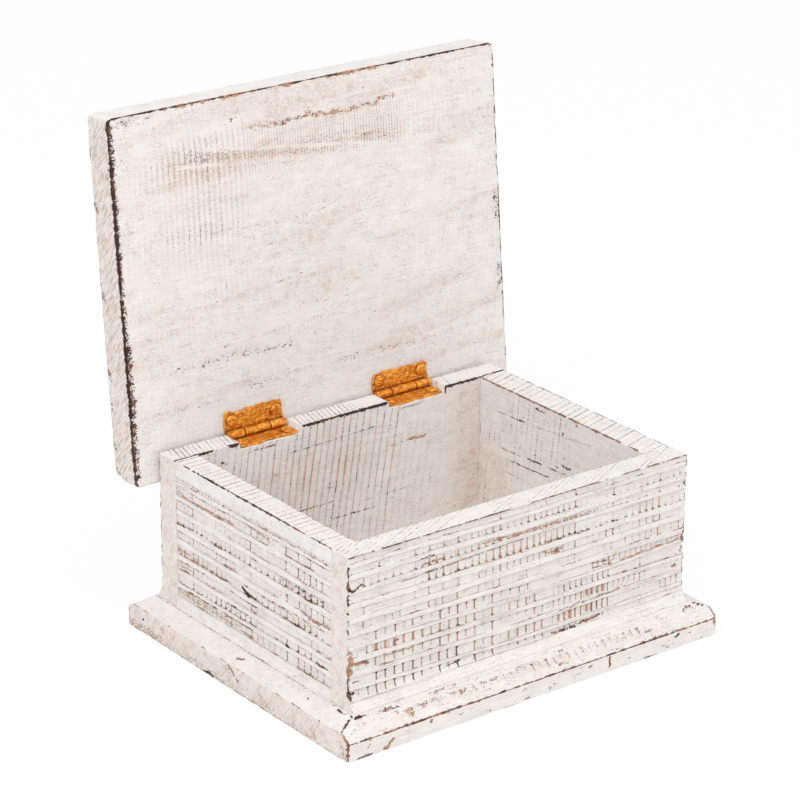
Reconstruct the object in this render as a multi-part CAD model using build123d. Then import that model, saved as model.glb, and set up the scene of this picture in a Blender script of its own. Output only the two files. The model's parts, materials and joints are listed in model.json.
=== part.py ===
from build123d import *
import math
import os

# Whitewashed wooden spice box with a hinged lid, in millimetres.
# +X is to the right, -Y to the front and +Z up; the origin is the centre of the base board's underside.
# The lid is made shut, then turned back on its hinge pins to where it rests open.

# ---- case: four boards on a base board ----
CASE_LENGTH = 200.0  # over the ends of the front and back boards
CASE_DEPTH = 150.0  # over the ridges of the front and back boards
RIM_HEIGHT = 91.5  # from the ground to the rim
BOARD = 13.0  # thickness of the front, back and left boards, over their ridges
RIGHT_BOARD = 15.5  # the right board is cut from thicker stock
SIDE_SET_IN = 0.4  # how far the side boards stand in from the ends of the front and back boards
RIM_EDGE = 0.8  # rounding of the rim's outer edge

# ---- carved ridges on the outer faces ----
RIDGE_DEPTH = 0.9
RIDGE_WIDTH = 2.8
FRONT_PITCH = 6.85
SIDE_PITCH = 7.5
BACK_PITCH = 5.6
LONG_RIM_BAND = 2.0  # plain band under the rim of the front and back boards
SIDE_RIM_BAND = 7.0
LONG_FOOT_HEIGHT = 4.7  # height over which the foot of the front and back boards sweeps out
SIDE_FOOT_HEIGHT = 6.0
LONG_FOOT_FLARE = 4.0
SIDE_FOOT_FLARE = 1.2

# ---- base board ----
BASE_SIDE_OVERHANG = 11.0
BASE_FRONT_OVERHANG = 14.5
BASE_TOP = 16.0  # thickness under the walls
BASE_LONG_EDGE = 8.6  # thickness at its front and back edges, from which a bevel rises to the walls' feet
BASE_END_EDGE = 12.5  # thickness at its left and right edges
BASE_CORNER = 2.5

# ---- lid ----
LID_THICKNESS = 17.5
LID_SIDE_OVERHANG = 13.0
LID_FRONT_OVERHANG = 14.5
LID_REAR_OVERHANG = 13.5
LID_BACK_ROUND = 8.0  # rounding of its top back edge
LID_EDGE = 1.2  # rounding of its other long edges
LID_CORNER = 3.0
CLOSED_GAP = 1.5  # between the shut lid and the rim

# ---- butt hinges ----
HINGE_SPREAD = 88.8  # between the middles of the two hinges
HINGE_LENGTH = 33.6
KNUCKLE_RADIUS = 2.2
MIDDLE_KNUCKLE = 15.0
KNUCKLE_GAP = 0.3  # between knuckles, and round each one
PIN_SET_IN = 0.8  # from the back ridges' crests to the pins' axis
PIN_RADIUS = 1.1
PIN_FIT = 0.06
PIN_END = 0.5  # how far a pin's domed ends stand out
LEAF = 1.0
BOX_LEAF_WIDTH = 11.5  # from the pins' axis to the leaf's free edge
LID_LEAF_WIDTH = 11.0
LEAF_CORNER = 1.0
NOTCH_SIDE_GAP = 1.2
LEAN_GAP = 0.3  # between the open lid's back edge and the back board

# ---- fasteners ----
WOOD_FIT = 0.05  # round a screw or brad in its hole
HINGE_SCREW_SPREAD = 26.0
HINGE_SCREW_SHANK = 1.2  # radius
HINGE_SCREW_HEAD = 2.6
HINGE_SCREW_DOME = 1.1
HINGE_SCREW_LENGTH = 10.0
SLOT_WIDTH = 0.6
SLOT_DEPTH = 0.5
BRAD_RADIUS = 0.8
BRAD_HEAD = 1.4
BRAD_HEAD_HEIGHT = 0.8
BRAD_LENGTH = 30.0
BRAD_SET = 1.6  # depth of the brads' heads under the ridges' crests
BRADS_PER_CORNER = 3
BRAD_END_SPACE = 14.0  # from a board's bottom and top edges to its nearest brads
BASE_SCREW_SHANK = 1.7
BASE_SCREW_HEAD = 3.4
BASE_SCREW_LENGTH = 30.0
BASE_SCREW_SET = 0.6
BASE_SCREW_SPREAD = 120.0

# ---- worked out ----
BOARD_HEIGHT = RIM_HEIGHT - BASE_TOP
BACK_Y = CASE_DEPTH / 2
SIDE_X = CASE_LENGTH / 2 - SIDE_SET_IN
SIDE_LENGTH = CASE_DEPTH - 2 * BOARD
SEAT = KNUCKLE_RADIUS + KNUCKLE_GAP  # from the pins' axis to the faces that the leaves are screwed to
PIN_Y = BACK_Y - PIN_SET_IN
PIN_Z = RIM_HEIGHT + CLOSED_GAP - SEAT
PIN_AXIS = Axis((0, PIN_Y, PIN_Z), (1, 0, 0))
LID_TAIL = PIN_SET_IN + LID_REAR_OVERHANG  # how far the lid reaches behind the pins
LEAN = math.degrees(
    math.atan2(SEAT, LID_TAIL) - math.asin((PIN_SET_IN + LEAN_GAP) / math.hypot(SEAT, LID_TAIL))
)
OPEN_ANGLE = 90 + LEAN  # the lid's back edge then comes against the back board
HINGE_X = {"left": -HINGE_SPREAD / 2, "right": HINGE_SPREAD / 2}


def ridged_board(length, thickness, pitch, rim_band, foot_height, flare):
    """A board along X, its ridges' crests in the plane Y = 0 facing +Y, and its bottom at Z = 0."""
    count = int((BOARD_HEIGHT - foot_height - rim_band) // pitch)
    recess = -RIDGE_DEPTH
    band = BOARD_HEIGHT - rim_band
    outline = [
        Line((-thickness, 0), (flare, 0)),
        TangentArc((recess, foot_height), (flare, 0), tangent=(0, -1)),
    ]
    top = foot_height
    for step in range(count, 0, -1):
        middle = band - (step - 0.5) * pitch
        low, high = middle - RIDGE_WIDTH / 2, middle + RIDGE_WIDTH / 2
        outline += [
            Line((recess, top), (recess, low)),
            ThreePointArc((recess, low), (0, middle), (recess, high)),
        ]
        top = high
    shoulder = band + RIDGE_DEPTH
    outline += [
        Line((recess, top), (recess, band)),
        Line((recess, band), (0, shoulder)),
        Line((0, shoulder), (0, BOARD_HEIGHT - RIM_EDGE)),
        TangentArc((0, BOARD_HEIGHT - RIM_EDGE), (-RIM_EDGE, BOARD_HEIGHT), tangent=(0, 1)),
        Line((-RIM_EDGE, BOARD_HEIGHT), (-thickness, BOARD_HEIGHT)),
        Line((-thickness, BOARD_HEIGHT), (-thickness, 0)),
    ]
    section = Plane.YZ * make_face(Wire(outline))
    return extrude(section, length / 2, both=True)


def fastener(profile):
    """A turned fastener from (radius, height) points: its head's seat at Z = 0 and its shank down -Z."""
    points = [(0, profile[0][1]), *profile, (0, profile[-1][1])]
    return revolve(Plane.XZ * make_face(Polyline(*points, close=True)), Axis.Z)


def round_head_screw():
    """A slotted round-head wood screw."""
    tip = HINGE_SCREW_SHANK * 2
    shank = fastener([
        (HINGE_SCREW_SHANK, 0),
        (HINGE_SCREW_SHANK, tip - HINGE_SCREW_LENGTH),
        (HINGE_SCREW_SHANK / 5, -HINGE_SCREW_LENGTH),
    ])
    ball = (HINGE_SCREW_HEAD**2 + HINGE_SCREW_DOME**2) / (2 * HINGE_SCREW_DOME)
    dome = Pos(0, 0, HINGE_SCREW_DOME - ball) * Sphere(ball)
    above = Pos(0, 0, HINGE_SCREW_DOME / 2) * Box(3 * ball, 3 * ball, HINGE_SCREW_DOME)
    slot = Pos(0, 0, HINGE_SCREW_DOME) * Box(3 * ball, SLOT_WIDTH, 2 * SLOT_DEPTH)
    return shank + (dome & above) - slot


def flat_head_screw():
    """A countersunk wood screw, its flat head's top at Z = 0."""
    cone = BASE_SCREW_HEAD - BASE_SCREW_SHANK
    tip = BASE_SCREW_SHANK * 2
    body = fastener([
        (BASE_SCREW_HEAD, 0),
        (BASE_SCREW_SHANK, -cone),
        (BASE_SCREW_SHANK, tip - BASE_SCREW_LENGTH),
        (BASE_SCREW_SHANK / 5, -BASE_SCREW_LENGTH),
    ])
    arm = BASE_SCREW_HEAD
    cross = Box(arm, SLOT_WIDTH, 2 * SLOT_DEPTH) + Box(SLOT_WIDTH, arm, 2 * SLOT_DEPTH)
    return body - cross


def brad():
    """A brad, its head's top at Z = 0."""
    tip = BRAD_RADIUS * 2
    return fastener([
        (BRAD_HEAD, 0),
        (BRAD_HEAD, -BRAD_HEAD_HEIGHT),
        (BRAD_RADIUS, -BRAD_HEAD_HEIGHT),
        (BRAD_RADIUS, tip - BRAD_LENGTH),
        (BRAD_RADIUS / 5, -BRAD_LENGTH),
    ])


def shaft_hole(radius, length, head_radius=0, head_height=0, mouth=0):
    """The hole for a fastener: its shank, its head with the mouth above it, and the fit round both."""
    hole = Pos(0, 0, -(length + WOOD_FIT) / 2) * Cylinder(radius + WOOD_FIT, length + WOOD_FIT)
    if head_radius:
        bore = head_height + mouth
        hole += Pos(0, 0, mouth - bore / 2) * Cylinder(head_radius + WOOD_FIT, bore)
    return hole


def countersink_hole():
    """The hole for a countersunk screw, with its cone and the mouth above its head."""
    head, shank = BASE_SCREW_HEAD + WOOD_FIT, BASE_SCREW_SHANK + WOOD_FIT
    cone = BASE_SCREW_HEAD - BASE_SCREW_SHANK
    deep = BASE_SCREW_LENGTH + WOOD_FIT
    return fastener([(head, BASE_SCREW_SET + WOOD_FIT), (head, 0), (shank, -cone), (shank, -deep)])


def placed(shape, places):
    """Copies of a shape at each of the places."""
    return [place * shape for place in places]


def cut(board, holes):
    """A board with every hole taken out of it."""
    for hole in holes:
        board -= hole
    return board


# ---- where the fasteners go ----
def side_board_middles():
    """X of the middle of the left board's thickness and of the right board's."""
    return (-(SIDE_X - BOARD / 2), SIDE_X - RIGHT_BOARD / 2)


def brad_places(side):
    """Places of the brads through the front (-1) or back (+1) board into the side boards' ends."""
    spacing = (BOARD_HEIGHT - 2 * BRAD_END_SPACE) / (BRADS_PER_CORNER - 1)
    head_y = side * (BACK_Y - BRAD_SET)
    heights = [BASE_TOP + BRAD_END_SPACE + row * spacing for row in range(BRADS_PER_CORNER)]
    return [Pos(x, head_y, z) * Rot(-90 * side, 0, 0) for x in side_board_middles() for z in heights]


def base_screw_places():
    """Places of the screws up through the base into the four boards."""
    half = BASE_SCREW_SPREAD / 2
    long_y = BACK_Y - BOARD / 2
    spots = [(x, y) for y in (-long_y, long_y) for x in (-half, half)]
    spots += [(x, 0) for x in side_board_middles()]
    return [Pos(x, y, BASE_SCREW_SET) * Rot(180, 0, 0) for x, y in spots]


def leaf_screw_places(hinge_x, width, side):
    """Places of a leaf's two screws, down into the rim (side -1) or up into the shut lid (side +1)."""
    y = PIN_Y - (width + KNUCKLE_RADIUS) / 2
    z = PIN_Z + side * (SEAT - LEAF)
    turn = Rot(180, 0, 0) if side > 0 else Rot(0, 0, 0)
    return [Pos(hinge_x + dx, y, z) * turn for dx in (-HINGE_SCREW_SPREAD / 2, HINGE_SCREW_SPREAD / 2)]


FRONT_BRADS, BACK_BRADS = brad_places(-1), brad_places(1)
BASE_SCREWS = base_screw_places()
BOX_SCREWS = {name: leaf_screw_places(x, BOX_LEAF_WIDTH, -1) for name, x in HINGE_X.items()}
LID_SCREWS = {name: leaf_screw_places(x, LID_LEAF_WIDTH, 1) for name, x in HINGE_X.items()}


# ---- boards ----
def brad_holes():
    """Holes for all the brads, open to the boards' faces."""
    hole = shaft_hole(BRAD_RADIUS, BRAD_LENGTH, BRAD_HEAD, BRAD_HEAD_HEIGHT, 2 * BRAD_SET)
    return placed(hole, FRONT_BRADS + BACK_BRADS)


def bevelled(width, top_width, edge):
    """Outline of a board's end: square edges, then a top that bevels up to the feet of the walls."""
    half, top = width / 2, top_width / 2
    corners = [(-half, 0), (half, 0), (half, edge), (top, BASE_TOP), (-top, BASE_TOP), (-half, edge)]
    return make_face(Polyline(*corners, close=True))


def base_board():
    """One board whose top bevels up from all four edges to the feet of the walls."""
    length = CASE_LENGTH + 2 * BASE_SIDE_OVERHANG
    depth = CASE_DEPTH + 2 * BASE_FRONT_OVERHANG
    ends = bevelled(length, 2 * (SIDE_X + SIDE_FOOT_FLARE), BASE_END_EDGE)
    long_edges = bevelled(depth, CASE_DEPTH + 2 * LONG_FOOT_FLARE, BASE_LONG_EDGE)
    board = extrude(RectangleRounded(length, depth, BASE_CORNER), BASE_TOP)
    board &= extrude(Plane.XZ * ends, depth, both=True)
    board &= extrude(Plane.YZ * long_edges, length, both=True)
    return cut(board, placed(countersink_hole(), BASE_SCREWS))


def hinge_notches():
    """The two notches in the back rim that the box leaves lie in."""
    length = HINGE_LENGTH + 2 * NOTCH_SIDE_GAP
    floor = PIN_Z - SEAT
    depth = 2 * (RIM_HEIGHT - floor)
    return [Pos(x, BACK_Y - BOARD / 2, floor + depth / 2) * Box(length, 2 * BOARD, depth)
            for x in HINGE_X.values()]


def case_boards():
    """The front, back, left and right boards by name."""
    long_ends = (LONG_RIM_BAND, LONG_FOOT_HEIGHT, LONG_FOOT_FLARE)
    side_ends = (SIDE_RIM_BAND, SIDE_FOOT_HEIGHT, SIDE_FOOT_FLARE)
    front = ridged_board(CASE_LENGTH, BOARD, FRONT_PITCH, *long_ends)
    back = ridged_board(CASE_LENGTH, BOARD, BACK_PITCH, *long_ends)
    left = ridged_board(SIDE_LENGTH, BOARD, SIDE_PITCH, *side_ends)
    right = ridged_board(SIDE_LENGTH, RIGHT_BOARD, SIDE_PITCH, *side_ends)
    boards = {
        "front_wall": Pos(0, -BACK_Y, BASE_TOP) * Rot(0, 0, 180) * front,
        "back_wall": Pos(0, BACK_Y, BASE_TOP) * back,
        "left_wall": Pos(-SIDE_X, 0, BASE_TOP) * Rot(0, 0, 90) * left,
        "right_wall": Pos(SIDE_X, 0, BASE_TOP) * Rot(0, 0, -90) * right,
    }
    screw_hole = shaft_hole(HINGE_SCREW_SHANK, HINGE_SCREW_LENGTH)
    leaf_screws = BOX_SCREWS["left"] + BOX_SCREWS["right"]
    boards["back_wall"] = cut(boards["back_wall"], hinge_notches() + placed(screw_hole, leaf_screws))
    fixings = brad_holes() + placed(countersink_hole(), BASE_SCREWS)
    return {name: cut(board, fixings) for name, board in boards.items()}


def shut_lid():
    """The lid as it lies shut: one board, its top back edge well rounded."""
    length = CASE_LENGTH + 2 * LID_SIDE_OVERHANG
    depth = CASE_DEPTH + LID_FRONT_OVERHANG + LID_REAR_OVERHANG
    middle_y = (LID_REAR_OVERHANG - LID_FRONT_OVERHANG) / 2
    underside = PIN_Z + SEAT
    top_back = (depth / 2, LID_THICKNESS / 2)
    side_view = Rectangle(depth, LID_THICKNESS)
    side_view = fillet(side_view.vertices().sort_by_distance(top_back)[0], LID_BACK_ROUND)
    side_view = fillet(side_view.vertices().sort_by_distance(top_back)[2:], LID_EDGE)
    plan = RectangleRounded(length, depth, LID_CORNER)
    lid = (Plane.YZ * extrude(side_view, length, both=True)) & extrude(plan, LID_THICKNESS, both=True)
    lid = Pos(0, middle_y, underside + LID_THICKNESS / 2) * lid
    screw_hole = shaft_hole(HINGE_SCREW_SHANK, HINGE_SCREW_LENGTH)
    return cut(lid, placed(screw_hole, LID_SCREWS["left"] + LID_SCREWS["right"]))


# ---- hinges ----
def knuckle(hinge_x, start, end, side):
    """One knuckle with the tongue that joins it to its leaf; start and end are along X from the middle."""
    length = end - start
    middle = hinge_x + (start + end) / 2
    barrel = Pos(middle, PIN_Y, PIN_Z) * Rot(0, 90, 0) * Cylinder(KNUCKLE_RADIUS, length)
    tongue = Pos(middle, PIN_Y - SEAT / 2, PIN_Z + side * (SEAT - LEAF / 2)) * Box(length, SEAT, LEAF)
    return barrel + tongue


def leaf(hinge_x, width, side, spans, screws):
    """A hinge leaf with its knuckles: side -1 lies in the rim, side +1 under the shut lid."""
    plate_width = width - SEAT
    plate = extrude(RectangleRounded(HINGE_LENGTH, plate_width, LEAF_CORNER), LEAF / 2, both=True)
    body = Pos(hinge_x, PIN_Y - SEAT - plate_width / 2, PIN_Z + side * (SEAT - LEAF / 2)) * plate
    for start, end in spans:
        body += knuckle(hinge_x, start, end, side)
    bore = Pos(hinge_x, PIN_Y, PIN_Z) * Rot(0, 90, 0) * Cylinder(PIN_RADIUS + PIN_FIT, 2 * HINGE_LENGTH)
    screw_hole = Cylinder(HINGE_SCREW_SHANK + WOOD_FIT, 4 * LEAF)
    return cut(body, [bore, *placed(screw_hole, screws)])


def hinge_pin(hinge_x):
    """A pin right through the three knuckles, with domed ends."""
    core = HINGE_LENGTH / 2
    quarter = [Line((0, 0), (0, PIN_RADIUS)), Line((0, PIN_RADIUS), (core, PIN_RADIUS)),
               Spline((core, PIN_RADIUS), (core + PIN_END, 0), tangents=[(1, 0), (0, -1)]),
               Line((core + PIN_END, 0), (0, 0))]
    half = revolve(make_face(Wire(quarter)), Axis.X)
    return Pos(hinge_x, PIN_Y, PIN_Z) * (half + mirror(half, Plane.YZ))


def hinge_parts(name):
    """The pieces of one hinge, by node name, as they are with the lid shut."""
    x = HINGE_X[name]
    half, inner = HINGE_LENGTH / 2, MIDDLE_KNUCKLE / 2
    outer = inner + KNUCKLE_GAP
    middle_span, end_spans = [(-inner, inner)], [(-half, -outer), (outer, half)]
    return {
        f"{name}_hinge_box_leaf": leaf(x, BOX_LEAF_WIDTH, -1, middle_span, BOX_SCREWS[name]),
        f"{name}_hinge_lid_leaf": leaf(x, LID_LEAF_WIDTH, 1, end_spans, LID_SCREWS[name]),
        f"{name}_hinge_pin": hinge_pin(x),
        f"{name}_hinge_box_screws": Compound(children=placed(round_head_screw(), BOX_SCREWS[name])),
        f"{name}_hinge_lid_screws": Compound(children=placed(round_head_screw(), LID_SCREWS[name])),
    }


def opened(piece):
    """A piece of the shut lid turned back on the pins to where it rests open."""
    return piece.rotate(PIN_AXIS, -OPEN_ANGLE)


def all_nodes():
    """Every node of the box, by name, where it is with the lid open."""
    nodes = {"base_board": base_board(), **case_boards(), "lid_board": opened(shut_lid())}
    for name in HINGE_X:
        for node, piece in hinge_parts(name).items():
            nodes[node] = opened(piece) if "_lid_" in node else piece
    nodes["front_wall_brads"] = Compound(children=placed(brad(), FRONT_BRADS))
    nodes["back_wall_brads"] = Compound(children=placed(brad(), BACK_BRADS))
    nodes["base_screws"] = Compound(children=placed(flat_head_screw(), BASE_SCREWS))
    return nodes


os.makedirs("parts", exist_ok=True)
for node_name, node in all_nodes().items():
    export_step(node, f"parts/{node_name}.step")
print(f"pin axis at y {PIN_Y:.2f} z {PIN_Z:.2f}, lid opens {OPEN_ANGLE:.2f} degrees")
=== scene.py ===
# Looks of a whitewashed wooden spice box with a hinged lid. Lengths are millimetres until a mesh is
# made. Each board is the skin of a lattice of points, carved, chipped and marked with whole arrays.
import json
import math
from itertools import product

import bpy
import numpy as np
from mathutils import Matrix, Vector


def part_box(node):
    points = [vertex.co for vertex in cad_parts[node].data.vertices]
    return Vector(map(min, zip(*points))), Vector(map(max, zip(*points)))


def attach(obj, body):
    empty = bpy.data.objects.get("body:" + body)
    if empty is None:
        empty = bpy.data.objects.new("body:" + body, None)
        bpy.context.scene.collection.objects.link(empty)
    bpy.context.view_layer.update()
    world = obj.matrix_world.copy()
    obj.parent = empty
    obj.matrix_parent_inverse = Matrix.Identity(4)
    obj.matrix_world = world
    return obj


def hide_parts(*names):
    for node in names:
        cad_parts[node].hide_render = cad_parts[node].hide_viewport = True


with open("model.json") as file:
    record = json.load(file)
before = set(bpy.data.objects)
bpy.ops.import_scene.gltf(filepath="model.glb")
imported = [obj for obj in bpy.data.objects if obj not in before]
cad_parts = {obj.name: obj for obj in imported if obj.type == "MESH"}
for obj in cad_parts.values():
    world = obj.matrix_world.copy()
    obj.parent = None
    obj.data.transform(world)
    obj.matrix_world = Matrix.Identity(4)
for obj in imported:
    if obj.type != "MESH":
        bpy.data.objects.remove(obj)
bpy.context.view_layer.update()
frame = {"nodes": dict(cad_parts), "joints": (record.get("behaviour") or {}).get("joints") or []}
METRES = 0.001

# The faces of a board, as an axis and a side of it.
LEFT, RIGHT, FRONT, BACK, UNDER, TOP = product((0, 1, 2), (-1, 1))

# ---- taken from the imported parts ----
JOINT = frame["joints"][0]
PIN = np.array(JOINT["pos_m"]) / METRES
OPEN = math.radians(JOINT["range_deg"][1])


def corners(node):
    """A node's lowest and highest corners in millimetres."""
    low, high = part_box(node)
    return np.array(low) / METRES, np.array(high) / METRES


def turned(points, angle):
    """Points turned about the hinge pins' axis, which runs along X."""
    y, z = points[:, 1] - PIN[1], points[:, 2] - PIN[2]
    c, s = math.cos(angle), math.sin(angle)
    return np.stack([points[:, 0], PIN[1] + c * y - s * z, PIN[2] + s * y + c * z], 1)


def shut_corners(node):
    """Corners of a node of the lid as it lies shut."""
    mesh = frame["nodes"][node].data
    flat = np.empty(3 * len(mesh.vertices), np.float32)
    mesh.vertices.foreach_get("co", flat)
    points = turned(flat.reshape(-1, 3).astype(float) / METRES, OPEN)
    return points.min(0), points.max(0)


RIM = corners("back_wall")[1][2]
BASE_LOW, BASE_HIGH = corners("base_board")
BASE_TOP = BASE_HIGH[2]
LID_LOW, LID_HIGH = shut_corners("lid_board")

# ---- shapes of the boards ----
LONG_FLARE = 4.0  # how far the feet of the front and back boards sweep out
SIDE_FLARE = 1.2
LONG_SWEEP = 9.5  # height over which a foot sweeps out
SIDE_SWEEP = 5.0
RECESS = 0.85  # depth of the bands between ridges
BASE_EDGES = (12.5, 8.6)  # heights of the base's edges: at its ends, and along its front and back
BASE_BEVEL = (10.2, 10.5)  # widths of the bevels that rise from them
BASE_CORNER = 2.5
LID_CORNER = 3.0
LID_BACK_ROUND = 8.0
NOTCH_FLOOR = 88.0
NOTCH_MIDDLE = 44.4
NOTCH_HALF = 18.0
NOTCH_SQUEEZE = 3.0


# ---- numbers over points ----
def smooth(values):
    """0 below 0, 1 above 1 and 3v^2 - 2v^3 between."""
    v = np.clip(values, 0, 1)
    return v * v * (3 - 2 * v)


TABLE_LENGTH = 65536
PRIMES = np.array([1, 7919, 104729])  # spread the cubes' corners over the table
OCTAVE_SHIFT = 17.3  # keeps the octaves' cubes from lining up


def noise(points, size, seed, octaves=2):
    """Smooth random numbers from -1 to 1: random values at the corners of cubes of the given size,
    blended between them, plus finer octaves of half the size and half the weight."""
    table = np.random.default_rng(seed).uniform(-1, 1, TABLE_LENGTH)
    points = points.reshape(len(points), -1) / np.asarray(size)
    primes = PRIMES[: points.shape[1]]
    total, weight = np.zeros(len(points)), 1.0
    for octave in range(octaves):
        scaled = points * 2**octave + OCTAVE_SHIFT * octave
        cell = np.floor(scaled).astype(np.int64)
        part = smooth(scaled - cell)
        for corner in product((0, 1), repeat=points.shape[1]):
            share = np.prod(np.where(corner, part, 1 - part), axis=1)
            total += weight * share * table[((cell + corner) * primes).sum(1) % TABLE_LENGTH]
        weight /= 2
    return total


def near_path(u, v, path, width):
    """1 on the path through the given points, falling to 0 one and a half widths from it."""
    best = np.full(len(u), np.inf)
    for (u0, v0), (u1, v1) in zip(path, path[1:] or path):
        du, dv = u1 - u0, v1 - v0
        along = np.clip(((u - u0) * du + (v - v0) * dv) / max(du * du + dv * dv, 1e-9), 0, 1)
        best = np.minimum(best, np.hypot(u - u0 - along * du, v - v0 - along * dv))
    return np.clip(1.5 - best / width, 0, 1)


def profile(places, stops):
    """The strength and darkness of (place, strength, darkness) stops, blended at each place."""
    at, strength, dark = np.array(stops, float).T
    return np.interp(places, at, strength), np.interp(places, at, dark)


def turns(places, pitches):
    """How many marks lie before each place: one over the pitch, which follows (place, pitch) stops,
    summed up from the start."""
    step = 0.25
    grid = np.arange(-115, 115, step)
    return np.interp(places, grid, np.cumsum(step / np.interp(grid, *np.array(pitches, float).T)))


# ---- boards ----
EDGE_STEPS = (0.25, 0.5, 0.8, 1.2, 1.7, 2.3)  # distances of the lattice's closest lines from an edge
TOUCH = 0.01  # how near a face a point of the lattice lies on it
UNWORN = 0.05  # wear that is too little to show
NO_BANDS = 4.0  # the place across a band where there are none
LEAST_RADIUS = 0.15


def spaced(low, high, step, extra, near):
    """Places from low to high about a step apart, with extra ones, and closer ones beside both ends."""
    near = np.array([0.0, *near])
    near = near[near < (high - low) / 2 - 0.05]
    inside = np.linspace(low, high, round((high - low) / step) + 1)
    close = near[-1] + step / 2
    inside = inside[(inside > low + close) & (inside < high - close)]
    for place in extra:
        inside = inside[np.abs(inside - place) > step / 4]
    return np.unique(np.concatenate([low + near, inside, extra, high - near]).round(4))


def lattice(*axes):
    """Outside points of the lattice of three lists of places, and the quads that close them to a skin."""
    shape = tuple(len(places) for places in axes)
    index = np.indices(shape)
    outside = np.zeros(shape, bool)
    for step, count in zip(index, shape):
        outside |= (step == 0) | (step == count - 1)
    number = np.full(shape, -1)
    number[outside] = np.arange(outside.sum())
    points = np.stack([places[step[outside]] for places, step in zip(axes, index)], 1)
    quads = []
    for axis, end in product(range(3), (0, -1)):
        sheet = np.take(number, end, axis)
        quad = [sheet[:-1, :-1], sheet[1:, :-1], sheet[1:, 1:], sheet[:-1, 1:]]
        if (axis == 1) == (end == -1):
            quad.reverse()
        quads.append(np.stack(quad, -1).reshape(-1, 4))
    return points, np.concatenate(quads)


def make_piece(name, points, faces, layers, material, body, replaced):
    """Makes the mesh from points in millimetres, with its number layers, and puts it on its body."""
    mesh = bpy.data.meshes.new(name)
    pole = faces[:, 0] == faces[:, 3]  # the triangles round a pole repeat their first corner
    mesh.from_pydata(points * METRES, [], faces[~pole].tolist() + faces[pole, :3].tolist())
    for key, values in layers.items():
        kind, field = ("FLOAT", "value") if values.ndim == 1 else ("FLOAT_VECTOR", "vector")
        layer = mesh.attributes.new(key, kind, "POINT")
        layer.data.foreach_set(field, values.astype(np.float32).ravel())
    mesh.polygons.foreach_set("use_smooth", np.ones(len(mesh.polygons), bool))
    mesh.materials.append(material)
    mesh.update()
    piece = bpy.data.objects.new(name, mesh)
    bpy.context.scene.collection.objects.link(piece)
    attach(piece, body)
    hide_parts(*replaced)
    return piece


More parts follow.
